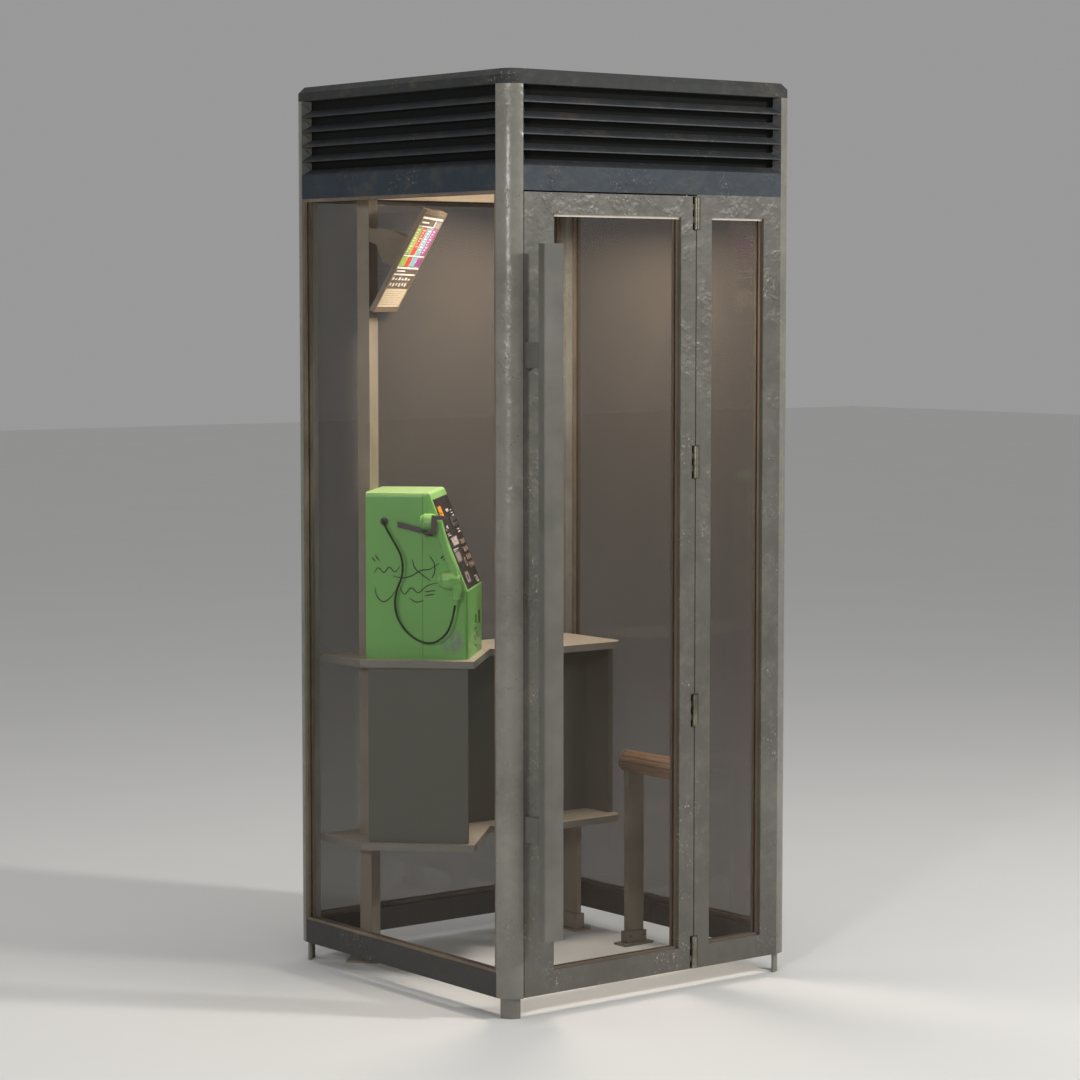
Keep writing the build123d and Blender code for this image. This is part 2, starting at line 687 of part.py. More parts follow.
def phone_front_case():
    """The front cover, recessed for the faceplate."""
    keep = block(PHONE_SEAM + 0.4, PHONE_FRONT + 5, -200, 300, SHELF_Z - 5, PHONE_TOP + 5)
    cover = (phone_solid() & keep) - phone_hollow()
    backing = face_panel(8.0, PLATE_T + 3.0, 3.0) & keep
    cover = cover - face_panel(0.4, PLATE_T, 10.0) + (backing & phone_solid()) - key_window()
    x, y, width, height = CARD
    cover = cover - face_rectangle((x, y, width - 26.0, 4.4), 0.0, 10.0, 20.0)
    cover = cover - block(PHONE_FRONT - 8, PHONE_FRONT + 1, *RETURN_W, *RETURN_Z)
    cover = cover - block(PHONE_FRONT - 8, PHONE_FRONT + 1, *CARD_RETURN)
    place = (PHONE_FRONT - WALL / 2, RETURN_W[0] - 2.5, RETURN_Z[1] - 2.5)
    cover = cover - rod(place, (0, 1, 0), PIVOT_R + 0.05, RETURN_W[1] - RETURN_W[0] + 5.0)
    return turned(cover)


def return_flap():
    """The coin return's flap, which hangs on its own two stub pins and is pushed inwards."""
    u = PHONE_FRONT - WALL / 2
    z = RETURN_Z[1] - 2.5
    w0 = RETURN_W[0] + 0.4
    w1 = RETURN_W[1] - 0.4
    plate = block(u - 1.0, u + 1.0, w0, w1, RETURN_Z[0] + 0.5, z)
    barrel = rod((u, w0, z), (0, 1, 0), 1.5, w1 - w0)
    pins = rod((u, RETURN_W[0] - 2.2, z), (0, 1, 0), PIVOT_R, RETURN_W[1] - RETURN_W[0] + 4.4)
    return turned(plate + barrel + pins)


def face_rectangle(place, grow, depth, amount):
    """A rounded block on the sloping face, from a depth below it outwards."""
    x, y, width, height = place
    sketch = Pos(x, y) * RectangleRounded(width + grow, height + grow, 2.0)
    return extrude(face_plane().offset(-depth) * sketch, amount=amount)


def outermost(shape):
    """The face of a part that stands furthest out from the sloping face."""
    out = face_plane().z_dir
    return shape.faces().sort_by(lambda face: face.center().dot(out))[-1]


def display_window():
    """The clear window over the display."""
    return turned(face_rectangle(WINDOW, -0.4, PLATE_T, PLATE_T - 0.5))


def card_slot():
    """The raised bezel that a card goes into."""
    x, y, width, height = CARD
    bezel = face_rectangle(CARD, -0.4, PLATE_T, PLATE_T + 5.0)
    rim = outermost(bezel)
    bezel = chamfer(rim.edges(), 1.5)
    return turned(bezel - face_rectangle((x, y, width - 26.0, 4.4), 0.0, PLATE_T, 20.0))


def phone_faceplate():
    """The dark plate that carries the keys, the display and the card slot."""
    plate = face_panel(0.0, PLATE_T, PLATE_T)
    for place in (WINDOW, CARD):
        plate = plate - face_rectangle(place, 0.0, PLATE_T, PLATE_T)
    for x, y in key_places():
        hole = RectangleRounded(KEY_W + 2 * KEY_CLEAR, KEY_H + 2 * KEY_CLEAR, 2.4)
        plate = plate - extrude(face_plane().offset(-PLATE_T) * Pos(x, y) * hole, amount=PLATE_T)
    return turned(plate)


def phone_key(x, y):
    """One key with softened top edges."""
    sketch = Pos(x, y) * RectangleRounded(KEY_W, KEY_H, 2.0)
    key = extrude(face_plane().offset(-PLATE_T - 2.0) * sketch, amount=PLATE_T + 2.0 + KEY_PROUD)
    top = outermost(key)
    return turned(chamfer(top.edges(), 0.8))


# --- Hook, handset and cord ---------------------------------------------------------------------------
def grip_path():
    """The bowed centre line of the handle, from the top down."""
    points = [Vector(u, HANDSET_W, z) for u, z in GRIP_PATH]
    return FilletPolyline(*points, radius=list(GRIP_ARCS))


def handset_cup(place):
    """One cup, opening towards the back of the booth."""
    neck_r, neck = CUP_NECK
    plane = Plane(origin=(place[0], HANDSET_W, place[1]), x_dir=(-1, 0, 0), z_dir=(0, -1, 0))
    points = [(0, 0), (0, neck_r), (neck, CUP_R), (CUP_LENGTH - CUP_EASE[0], CUP_R)]
    points += [(CUP_LENGTH, CUP_R - CUP_EASE[1]), (CUP_LENGTH, 0)]
    section = plane * make_face(Polyline(*points, close=True))
    return revolve(section, axis=Axis(plane.origin, plane.x_dir))


def handset_body():
    """The bowed handle, its two cups and the sleeve that the cord goes into."""
    path = grip_path()
    section = Plane(origin=path @ 0, x_dir=(0, 1, 0), z_dir=path % 0)
    grip = sweep(section * RectangleRounded(*GRIP_SIZE, 8.0), path=path)
    boot = rod(path @ 1, path % 1, BOOT[0], BOOT[1])
    return turned(grip + handset_cup(EAR) + handset_cup(MOUTH) + boot)


def handset_caps():
    """The covers of the earpiece and the mouthpiece."""
    caps = []
    for u, z in (EAR, MOUTH):
        face = u - CUP_LENGTH
        cap = rod((face, HANDSET_W, z), (-1, 0, 0), CAP_R, CAP_T)
        for turn in range(6):
            angle = math.radians(60 * turn)
            hole = (face, HANDSET_W + 10 * math.cos(angle), z + 10 * math.sin(angle))
            cap = cap - rod(hole, (-1, 0, 0), 1.6, CAP_T)
        caps.append(cap)
    return turned(group(caps))


def hook_lever():
    """An arm beside the case, the tray under the earpiece, and the cheek that keeps the handset in."""
    arm_points = [(-352.0, 1092.0), (-262.0, TRAY_TOP), (-262.0, TRAY_TOP - 14.0), (-352.0, 1077.0)]
    arm = profile(arm_points, HOOK_W - HOOK_T, HOOK_W)
    tray = block(-290.0, -262.0, HOOK_EDGE, HOOK_W, TRAY_TOP - HOOK_T, TRAY_TOP)
    cheek_points = [(-268.0, TRAY_TOP - HOOK_T), (-243.0, TRAY_TOP - HOOK_T), (-243.0, 1101.0)]
    cheek_points += [(-217.0, 1101.0), (-217.0, 1110.0), (-256.0, 1113.0), (-258.0, TRAY_TOP + 7.0)]
    cheek_points += [(-268.0, TRAY_TOP + 3.0)]
    cheek = profile(cheek_points, HOOK_EDGE, HOOK_EDGE + HOOK_T)
    hole = rod((HOOK_PIVOT[0], HOOK_W + 1.0, HOOK_PIVOT[1]), (0, -1, 0), 3.05, 6.0)
    return turned(arm + tray + cheek - hole)


def hook_pivot():
    """The pin that the lever turns on."""
    shaft = rod((HOOK_PIVOT[0], PHONE_W0, HOOK_PIVOT[1]), (0, -1, 0), 3.0, 6.5)
    head = rod((HOOK_PIVOT[0], PHONE_W0 - 6.5, HOOK_PIVOT[1]), (0, -1, 0), 5.0, 1.5)
    return turned(shaft + head)


def cord_points():
    """The route, with its last run in line with the handset's sleeve."""
    path = grip_path()
    end = path @ 1 + (path % 1) * BOOT[1]
    before = end + (path % 1) * CORD_LAST_RUN
    return [*[Vector(*point) for point in CORD_ROUTE], before, end]


def cord_grommet():
    """The collar where the cord leaves the case, with a nozzle in line with the cord's first run."""
    points = cord_points()
    out = (points[1] - points[0]).normalized()
    collar = rod((-386.0, PHONE_W0, 1091.0), (0, -1, 0), 10.0, 4.0)
    nozzle = rod(points[0] - out * 8.0, out, 6.0, 8.0)
    return turned(collar + nozzle)


def corner_radii(points):
    """For each inner point, the largest arc that its two runs allow."""
    radii = []
    for before, here, after in zip(points, points[1:], points[2:]):
        run_in = here - before
        run_out = after - here
        half_turn = math.radians(run_in.get_angle(run_out)) / 2
        radii.append(0.45 * min(run_in.length, run_out.length) / math.tan(half_turn))
    return radii


def handset_cord():
    """The armoured cord as one tube."""
    points = cord_points()
    radii = corner_radii(points)
    path = FilletPolyline(*points, radius=radii)
    section = Plane(origin=path @ 0, z_dir=path % 0) * Circle(CORD_D / 2)
    tube = sweep(section, path=path)
    expected = math.pi * (CORD_D / 2) ** 2 * path.length
    print("cord length", round(path.length, 1), "volume ratio", round(tube.volume / expected, 4))
    print("cord radii", [round(radius, 1) for radius in radii])
    print("cord end", [tuple(round(value, 1) for value in point) for point in points[-2:]])
    return turned(tube)


# --- Write every part ---------------------------------------------------------------------------------
def main():
    """Build and write the parts."""
    os.makedirs("parts", exist_ok=True)
    write("corner_posts", corner_posts())
    write("feet", feet())
    write("base_rails", base_rails())
    write("header_rails", header_rails())
    sill, *slats = louvre()
    write("louvre_sills", group(around(sill)))
    write("louvre_slats", group([copy for shape in slats for copy in around(shape)]))
    write("roof_cap", roof_cap())
    write("ceiling_panel", ceiling_panel())
    write("lamp_housing", lamp_housing())
    write("lamp_tubes", lamp_tubes())
    write("lamp_diffuser", lamp_diffuser())
    write("wall_glass", wall_glass())
    write("wall_beads", wall_beads())

    door_glass_x = (DOOR_X0 + DOOR_STILE_L, DOOR_X1 - DOOR_STILE_R)
    panel_glass_x = (PANEL_X0 + PANEL_STILE_L, INNER - PANEL_STILE_R)
    write("side_panel_frame", side_panel_frame())
    write("side_panel_glass", leaf_glass(*panel_glass_x))
    write("side_panel_beads", leaf_beads(*panel_glass_x))
    write("hinge_fixed_knuckles", hinge_knuckles(1, 0, PIN_R))
    write("hinge_pins", hinge_pins())
    write("door_frame", door_frame())
    write("door_glass", leaf_glass(*door_glass_x))
    write("door_beads", leaf_beads(*door_glass_x))
    write("hinge_door_knuckles", hinge_knuckles(-1, 1, PIN_R + 0.05))
    write("pull_bar", pull_bar())
    write("pull_bar_arms", pull_bar_arms())

    write("shelf_top", shelf(SHELF_Z))
    write("shelf_bottom", shelf(LOW_SHELF_Z))
    write("cabinet_side_left", cabinet_side_left())
    write("cabinet_side_right", cabinet_side_right())
    write("cabinet_back", cabinet_back())
    write("back_column", back_column())
    write("shelf_leg", shelf_leg())
    write("perch_rail", perch_rail())
    write("perch_posts", perch_posts())
    write("sign_frame", sign_frame())
    write("sign_face", sign_face())
    write("sign_bracket", sign_bracket())

    write("phone_rear_case", phone_rear_case())
    write("phone_front_case", phone_front_case())
    write("phone_faceplate", phone_faceplate())
    write("display_window", display_window())
    write("card_slot", card_slot())
    write("return_flap", return_flap())
    for number, (x, y) in enumerate(key_places()):
        write(f"key_{number + 1:02d}", phone_key(x, y))
    write("hook_lever", hook_lever())
    write("hook_pivot", hook_pivot())
    write("handset_body", handset_body())
    write("handset_caps", handset_caps())
    write("cord_grommet", cord_grommet())
    write("handset_cord", handset_cord())


main()
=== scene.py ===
"""Looks of the telephone booth: finishes for every CAD part, and the pieces that only show.

Everything is in metres, in the row frame. Places come from the CAD parts' boxes and from the booth's own
turned axes for the telephone: u runs towards the user, w towards the user's right.
"""

import math

import bmesh
import bpy
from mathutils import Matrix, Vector


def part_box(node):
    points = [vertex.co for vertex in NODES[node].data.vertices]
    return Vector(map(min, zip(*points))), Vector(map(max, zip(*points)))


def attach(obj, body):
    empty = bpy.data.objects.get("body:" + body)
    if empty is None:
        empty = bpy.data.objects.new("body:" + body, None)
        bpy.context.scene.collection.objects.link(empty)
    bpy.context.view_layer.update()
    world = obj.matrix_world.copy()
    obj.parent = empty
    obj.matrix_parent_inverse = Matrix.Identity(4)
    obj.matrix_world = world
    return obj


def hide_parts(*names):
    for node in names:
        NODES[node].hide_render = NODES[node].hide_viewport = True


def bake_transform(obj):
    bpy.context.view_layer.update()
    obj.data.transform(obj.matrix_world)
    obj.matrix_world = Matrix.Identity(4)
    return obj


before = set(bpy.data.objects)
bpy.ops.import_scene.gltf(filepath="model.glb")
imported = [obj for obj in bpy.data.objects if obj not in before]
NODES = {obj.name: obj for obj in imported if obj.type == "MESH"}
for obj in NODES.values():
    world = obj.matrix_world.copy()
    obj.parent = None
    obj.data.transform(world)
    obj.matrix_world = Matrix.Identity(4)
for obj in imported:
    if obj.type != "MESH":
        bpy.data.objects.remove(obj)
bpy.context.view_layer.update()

# --- Sizes that repeat part.py's driving dimensions, in metres ----------------------------------------
LIFT = 0.050  # the feet hold the cabin this far off the ground
SHIFT = 0.038  # the plan's centre, measured from the row's origin
HALF = 0.450
POST = 0.046
HEADER_Z = 1.902  # underside of the header rails
LEAF_RAIL = 0.054  # height of the door's top rail
PERCH_POST_Y = (-0.180, 0.047)
PERCH_X = 0.350
PHONE_NEAR = -0.089  # w of the telephone's near side
PHONE_MID = 0.041  # w of the telephone's middle
FACE_FOOT = (-0.174, 0.916)  # (u, z) of the sloping face's lower and upper edges
FACE_HEAD = (-0.267, 1.152)
KEY_CENTRE = (0.066, 0.088)  # the keypad's middle, on the sloping face
KEY_PITCH = (0.024, 0.021)
SIGN_LOW = (-0.400, 1.618)  # (u, z) of the sign's lower and upper edges
SIGN_HIGH = (-0.265, 1.871)
SIGN_W = (-0.155, 0.190)
BAR_GAP = 0.050  # from the door's face to the pull bar
BAR_ARM_H = 0.061
CORD_D = 0.006

# --- Sizes of this script's own -----------------------------------------------------------------------
LAMP_GLOW_Z = 1.945  # just under the lamp's diffuser
LEFT_PANE_X = -0.425  # the left pane is further out than this
NUMERAL_LIFT = 0.0031  # the numerals stand this far out of the face, just over the key tops
SCREW_R = 0.0045
FACE_SCREW_R = 0.0032
ARM_SCREW_R = 0.0036


def place(u, w, z):
    """A point of the telephone's own axes, in the row frame."""
    root = math.sqrt(0.5)
    return Vector(((u + w) * root, (w - u) * root + SHIFT, z + LIFT))


# --- Camera -------------------------------------------------------------------------------------------
CAMERA_PLACE = (-4.7499, -6.0197, 1.6924)
CAMERA_TURN = (math.radians(90 - 4.466), 0.0, math.radians(-38.088))


def add_camera():
    """A camera a little above the middle of the booth, seeing its front and its left side."""
    data = bpy.data.cameras.new("camera")
    data.sensor_width = 36.0
    data.lens = 101.47
    data.clip_end = 60.0
    camera = bpy.data.objects.new("camera", data)
    camera.location = CAMERA_PLACE
    camera.rotation_euler = CAMERA_TURN
    bpy.context.collection.objects.link(camera)
    bpy.context.scene.camera = camera


add_camera()


# --- Material building --------------------------------------------------------------------------------
class Finish:
    """A procedural material under construction, read from object coordinates in metres."""

    def __init__(self, name, roughness=0.5, metallic=0.0):
        self.material = bpy.data.materials.new(name)
        self.material.use_nodes = True
        self.tree = self.material.node_tree
        self.shader = self.tree.nodes["Principled BSDF"]
        self.shader.inputs["Roughness"].default_value = roughness
        self.shader.inputs["Metallic"].default_value = metallic
        self.coordinates = self.add("ShaderNodeTexCoord").outputs["Object"]

    def add(self, kind, **settings):
        node = self.tree.nodes.new(kind)
        for key, value in settings.items():
            setattr(node, key, value)
        return node

    def link(self, source, target):
        self.tree.links.new(source, target)

    def stretched(self, scale):
        """Coordinates scaled by a different amount along each axis."""
        node = self.add("ShaderNodeMapping")
        node.inputs["Scale"].default_value = scale
        self.link(self.coordinates, node.inputs["Vector"])
        return node.outputs["Vector"]

    def noise(self, scale, detail=4.0, rough=0.55, vector=None, distortion=0.0):
        node = self.add("ShaderNodeTexNoise")
        node.inputs["Scale"].default_value = scale
        node.inputs["Detail"].default_value = detail
        node.inputs["Roughness"].default_value = rough
        node.inputs["Distortion"].default_value = distortion
        self.link(vector or self.coordinates, node.inputs["Vector"])
        return node.outputs["Fac"]

    def cells(self, scale, vector=None):
        node = self.add("ShaderNodeTexVoronoi")
        node.inputs["Scale"].default_value = scale
        self.link(vector or self.coordinates, node.inputs["Vector"])
        return node.outputs["Distance"]

    def height(self, low, high):
        """0 below low and 1 above high, along Z."""
        axes = self.add("ShaderNodeSeparateXYZ")
        self.link(self.coordinates, axes.inputs["Vector"])
        return self.spread(axes.outputs["Z"], low, high)

    def near(self, point, inside, outside):
        """1 within one distance of a point, 0 beyond another."""
        node = self.add("ShaderNodeVectorMath", operation="DISTANCE")
        self.link(self.coordinates, node.inputs[0])
        node.inputs[1].default_value = point
        return self.spread(node.outputs["Value"], outside, inside)

    def spread(self, value, low, high):
        """Stretch a value so that low becomes 0 and high becomes 1."""
        node = self.add("ShaderNodeMapRange")
        node.inputs["From Min"].default_value = low
        node.inputs["From Max"].default_value = high
        self.link(value, node.inputs["Value"])
        return node.outputs["Result"]

    def times(self, first, second):
        node = self.add("ShaderNodeMath", operation="MULTIPLY")
        for index, value in enumerate((first, second)):
            if isinstance(value, (int, float)):
                node.inputs[index].default_value = value
            else:
                self.link(value, node.inputs[index])
        return node.outputs["Value"]

    def mix(self, amount, first, second):
        """A colour between two colours or sockets."""
        node = self.add("ShaderNodeMix", data_type="RGBA")
        self.link(amount, node.inputs["Factor"])
        for socket, value in ((node.inputs[6], first), (node.inputs[7], second)):
            if isinstance(value, tuple):
                socket.default_value = (*value, 1.0)
            else:
                self.link(value, socket)
        return node.outputs[2]

    def colour(self, value):
        if isinstance(value, tuple):
            self.shader.inputs["Base Color"].default_value = (*value, 1.0)
        else:
            self.link(value, self.shader.inputs["Base Color"])

    def rough(self, value, low, high):
        """Roughness between low and high."""
        node = self.add("ShaderNodeMapRange")
        node.inputs["To Min"].default_value = low
        node.inputs["To Max"].default_value = high
        self.link(value, node.inputs["Value"])
        self.link(node.outputs["Result"], self.shader.inputs["Roughness"])

    def bump(self, value, depth, previous=None):
        """Relief of a depth in metres."""
        node = self.add("ShaderNodeBump")
        node.inputs["Distance"].default_value = depth
        self.link(value, node.inputs["Height"])
        if previous is not None:
            self.link(previous, node.inputs["Normal"])
        self.link(node.outputs["Normal"], self.shader.inputs["Normal"])
        return node.outputs["Normal"]


def srgb(code):
    """A hex colour as linear red, green and blue."""
    values = []
    for start in (0, 2, 4):
        value = int(code[start:start + 2], 16) / 255
        values.append(value / 12.92 if value <= 0.04045 else ((value + 0.055) / 1.055) ** 2.4)
    return tuple(values)


def worn_paint(name, base, dark, light, dents=1.0, specks=0.5, rough=(0.30, 0.50), rust=0.0):
    """Old painted metal: shallow dents, small pits, pale chips where it was knocked, and dirt low down."""
    made = Finish(name)
    tone = made.mix(made.spread(made.noise(4.5, 6.0, 0.65), 0.25, 0.62), srgb(dark), srgb(base))
    bloom = made.times(made.spread(made.noise(26.0, 5.0, 0.7), 0.50, 0.78), 0.28)
    tone = made.mix(bloom, tone, srgb(light))
    if rust:
        stains = made.spread(made.noise(11.0, 6.0, 0.7, made.stretched((1.0, 1.0, 1.6))), 0.52, 0.72)
        tone = made.mix(made.times(stains, rust), tone, srgb("5b5044"))
    grime = made.times(made.noise(22.0, 6.0, 0.7), made.times(made.height(0.45, 0.02), 0.9))
    tone = made.mix(grime, tone, srgb(dark))
    knocks = made.spread(made.noise(7.5, 4.0, 0.65), 0.53, 0.66)
    chips = made.spread(made.noise(150.0, 3.0, 0.75), 0.60, 0.70)
    tone = made.mix(made.times(made.times(chips, knocks), specks), tone, srgb("d2cfb8"))
    pits = made.spread(made.cells(95.0), 0.20, 0.08)
    pitted = made.times(pits, made.spread(made.noise(12.0, 3.0, 0.6), 0.50, 0.62))
    tone = made.mix(made.times(pitted, 0.75), tone, srgb("2c2a25"))
    made.colour(tone)
    made.rough(made.noise(34.0, 5.0, 0.65), *rough)
    soft = made.bump(made.noise(30.0, 2.0, 0.5, distortion=0.4), 0.0015 * dents)
    rumpled = made.bump(made.times(made.noise(120.0, 4.0, 0.7), knocks), 0.0022 * dents, soft)
    made.bump(pitted, -0.0006 * dents, rumpled)
    return made.material


def plain_paint(name, base, dark, rough=(0.35, 0.55), grain=0.00012):
    """Newer paint: even, with a fine orange peel and some handling marks."""
    made = Finish(name)
    tone = made.mix(made.spread(made.noise(7.0, 5.0, 0.6), 0.38, 0.70), srgb(dark), srgb(base))
    made.colour(tone)
    made.rough(made.noise(40.0, 4.0), *rough)
    made.bump(made.noise(420.0, 2.0), grain)
    return made.material


def bead_with_painted_highlight(name, base, dark, pale):
    """A painted bead whose top length is painted pale: a painted highlight where the lamp catches it."""
    made = Finish(name, 0.45)
    tone = made.mix(made.noise(9.0, 4.0), srgb(dark), srgb(base))
    top = LIFT + HEADER_Z - LEAF_RAIL
    # painted highlight: the bead's top few millimetres turn pale
    made.colour(made.mix(made.height(top - 0.0062, top - 0.0055), tone, srgb(pale)))
    made.bump(made.noise(400.0, 2.0), 0.0001)
    return made.material


def tinted_glass(name, film, smears, alpha, far_alpha=None):
    """Glass with a thin warm film and some smears; the back and right panes may carry a thicker one."""
    made = Finish(name, 0.04)
    smear = made.spread(made.noise(5.0, 6.0, 0.7, made.stretched((1.0, 1.0, 0.5))), 0.50, 0.80)
    made.colour(made.mix(made.times(smear, 0.35), srgb(film), srgb(smears)))
    made.rough(smear, 0.02, 0.08)
    made.shader.inputs["IOR"].default_value = 1.45
    made.shader.inputs["Alpha"].default_value = alpha
    if far_alpha is not None:
        axes = made.add("ShaderNodeSeparateXYZ")
        made.link(made.coordinates, axes.inputs["Vector"])
        node = made.add("ShaderNodeMapRange")
        node.inputs["From Min"].default_value = LEFT_PANE_X
        node.inputs["From Max"].default_value = LEFT_PANE_X + 0.005
        node.inputs["To Min"].default_value = alpha
        node.inputs["To Max"].default_value = far_alpha
        made.link(axes.outputs["X"], node.inputs["Value"])
        made.link(node.outputs["Result"], made.shader.inputs["Alpha"])
    return made.material


def rubber(name, base):
    """Matt rubber with a fine grain."""
    made = Finish(name, 0.8)
    made.colour(made.mix(made.noise(60.0), srgb(base), srgb("2c2b28")))
    made.bump(made.noise(600.0, 2.0), 0.0001)
    return made.material


def worn_metal(name, base, dark, grain_scale=(1.0, 1.0, 40.0), rough=(0.30, 0.50)):
    """Bare or plated metal, brushed one way, with darker handling marks."""
    made = Finish(name, 0.4, 0.9)
    made.colour(made.mix(made.spread(made.noise(25.0, 5.0), 0.4, 0.7), srgb(base), srgb(dark)))
    made.rough(made.noise(60.0, 5.0), *rough)
    made.bump(made.noise(120.0, 3.0, 0.6, made.stretched(grain_scale)), 0.00010)
    return made.material


def laminate(name, base, speck, edge):
    """Laminate on board: a fine fleck, scuffs, and a darker edge seen on its upright faces."""
    made = Finish(name, 0.45)
    normal = made.add("ShaderNodeNewGeometry").outputs["Normal"]
    axes = made.add("ShaderNodeSeparateXYZ")
    made.link(normal, axes.inputs["Vector"])
    fleck = made.mix(made.spread(made.noise(190.0, 3.0, 0.7), 0.45, 0.65), srgb(base), srgb(speck))
    made.colour(made.mix(made.spread(axes.outputs["Z"], 0.5, 0.9), srgb(edge), fleck))
    made.rough(made.noise(14.0, 5.0), 0.32, 0.60)
    made.bump(made.noise(300.0, 2.0), 0.00008)
    return made.material


def moulded(name, base, pale, rough=(0.28, 0.42), texture=0.00010, stain=None):
    """Moulded plastic, paler on its upward faces as a painted highlight from the light above, with hairline
    scuffs and perhaps a stained spot.
    """
    made = Finish(name, 0.35)
    normal = made.add("ShaderNodeNewGeometry").outputs["Normal"]
    axes = made.add("ShaderNodeSeparateXYZ")
    made.link(normal, axes.inputs["Vector"])
    # painted highlight: the upward faces turn pale as if lit from above
    painted_top_highlight = made.times(made.spread(axes.outputs["Z"], 0.1, 0.9), 0.65)
    tone = made.mix(painted_top_highlight, srgb(base), srgb(pale))
    scuff = made.spread(made.noise(18.0, 6.0, 0.7, made.stretched((1.0, 1.0, 3.0))), 0.62, 0.82)
    tone = made.mix(made.times(scuff, 0.30), tone, srgb(pale))
    if stain is not None:
        ragged = made.spread(made.noise(60.0, 5.0, 0.7, made.stretched((1.6, 1.6, 0.7))), 0.40, 0.52)
        spot = made.times(made.near(stain, 0.020, 0.034), ragged)
        tone = made.mix(made.times(spot, 0.85), tone, srgb("83818c"))
    made.colour(tone)
    made.rough(made.noise(26.0, 5.0), *rough)
    made.bump(made.noise(520.0, 2.0), texture)
    made.shader.inputs["Coat Weight"].default_value = 0.15
    made.shader.inputs["Coat Roughness"].default_value = 0.25
    return made.material


def wood(name, base, dark):
    """Varnished wood with its grain along Y."""
    made = Finish(name, 0.4)
    grain = made.noise(14.0, 6.0, 0.65, made.stretched((9.0, 0.6, 9.0)), 1.2)
    fine = made.noise(60.0, 4.0, 0.7, made.stretched((14.0, 0.5, 14.0)))
    tone = made.mix(made.spread(grain, 0.35, 0.68), srgb(dark), srgb(base))
    made.colour(made.mix(made.times(fine, 0.35), tone, srgb(dark)))
    made.rough(fine, 0.28, 0.55)
    made.bump(grain, 0.0003)
    return made.material


def glowing(name, base, strength):
    """A lit opal surface with a soft mottle."""
    made = Finish(name, 0.5)
    made.colour(made.mix(made.noise(6.0), srgb(base), srgb("efe9dc")))
    made.shader.inputs["Emission Color"].default_value = (*srgb(base), 1.0)
    made.shader.inputs["Emission Strength"].default_value = strength
    made.bump(made.noise(300.0), 0.0001)
    return made.material


def ink(name, base, rough=0.5):
    """A printed or drawn mark, a little uneven."""
    made = Finish(name, rough)
    pale = tuple(min(1.0, value * 1.35 + 0.01) for value in srgb(base))
    made.colour(made.mix(made.spread(made.noise(45.0, 5.0, 0.7), 0.35, 0.8), srgb(base), pale))
    made.rough(made.noise(70.0), rough - 0.08, rough + 0.12)
    return made.material


STAIN = tuple(place(-0.213, PHONE_NEAR, 0.788))  # a grey smudge low on the near side

PAINT = {
    "frame": worn_paint("frame_paint", "84827a", "6c6a63", "a9a799", 1.0, 0.8, (0.22, 0.38)),
    "rails": worn_paint("rail_paint", "32312e", "292826", "514f49", 0.9, 0.8),
    "header": worn_paint("header_paint", "25323d", "1a2530", "474f50", 0.8, 0.6, (0.50, 0.68), 0.45),
    "louvre": worn_paint("louvre_paint", "2b3034", "212529", "4e5355", 0.4, 0.4, (0.45, 0.65), 0.5),
    # near-black painted shade for the sheets behind the louvre slats
    "void": plain_paint("louvre_shadow", "010101", "020202", (0.95, 1.0)),
    "roof": worn_paint("roof_paint", "2c302f", "252828", "494a41", 0.6, 0.5, (0.60, 0.80), 0.6),
    "ceiling": plain_paint("ceiling_paint", "bdae98", "a3947f"),
    "lamp_tray": plain_paint("lamp_tray", "e6e3d8", "d2cebf"),
    "lamp_tube": glowing("lamp_tube", "fff4de", 3.0),
    "diffuser": glowing("opal_diffuser", "d8b48c", 0.55),
    "glass": tinted_glass("clear_glass", "453a30", "6a6155", 0.15),
    "wall_glass": tinted_glass("wall_glass", "50483f", "6c6257", 0.12, 0.58),
    "gasket": rubber("gasket", "171614"),
    "bead": plain_paint("glazing_bead", "7d6f60", "5f5549"),
    # the door and side panel beads carry a painted highlight along their top length
    "leaf_bead": bead_with_painted_highlight("leaf_bead", "75685a", "564c41", "f1e9dd"),
    "leaf": worn_paint("leaf_paint", "62605a", "4e4c46", "93907f", 1.1, 1.0),
    "hinge": worn_metal("hinge_steel", "8d897c", "5d594f"),
    "bar": plain_paint("bar_paint", "6b6a63", "5a5953"),
    "shelf": laminate("shelf_laminate", "c2b5a3", "ab9d8a", "7f7d74"),
    "cabinet": laminate("cabinet_board", "5f6058", "525249", "595a51"),
    "column": plain_paint("column_paint", "94897a", "807566"),
    "perch_metal": plain_paint("perch_metal", "8c877a", "6f6a5e"),
    "wood": wood("perch_wood", "b0937a", "7c5f4a"),
    "sign_tray": plain_paint("sign_tray", "8a7866", "75654f"),
    "sign_print": ink("sign_print", "5d5044"),
    "phone": moulded("phone_green", "74b85c", "d6f2ac", stain=STAIN),
    "handset": moulded("handset_green", "80c066", "bce78c", (0.22, 0.36), 0.00005),
    "plate": ink("phone_plate", "2b2726"),
    "window": ink("display_window", "b9aaa8", 0.25),
    "keys": moulded("key_caps", "6f5442", "94765e"),
    "hook": plain_paint("hook_metal", "5f5a57", "494543"),
    "flap": plain_paint("flap_metal", "1d1c1a", "100f0e"),
    "gland": plain_paint("gland_metal", "59615a", "3f4640"),
    "armour": worn_metal("cord_armour", "3d4438", "24281f", (1.0, 1.0, 1.0), (0.35, 0.5)),
    "ink_white": ink("ink_white", "e6e0d4"),
    "ink_grey": ink("ink_grey", "8a7f7a"),
    "ink_black": ink("ink_black", "141311", 0.6),
    "ink_orange": ink("ink_orange", "e0912a", 0.4),
    "ink_beige": ink("ink_beige", "cdbb9f"),
    "ink_green": ink("ink_green", "93b04c"),
    "ink_red": ink("ink_red", "c9432c"),
    "ink_blue": ink("ink_blue", "6f9fa8"),
    "ink_purple": ink("ink_purple", "8d3f78"),
}

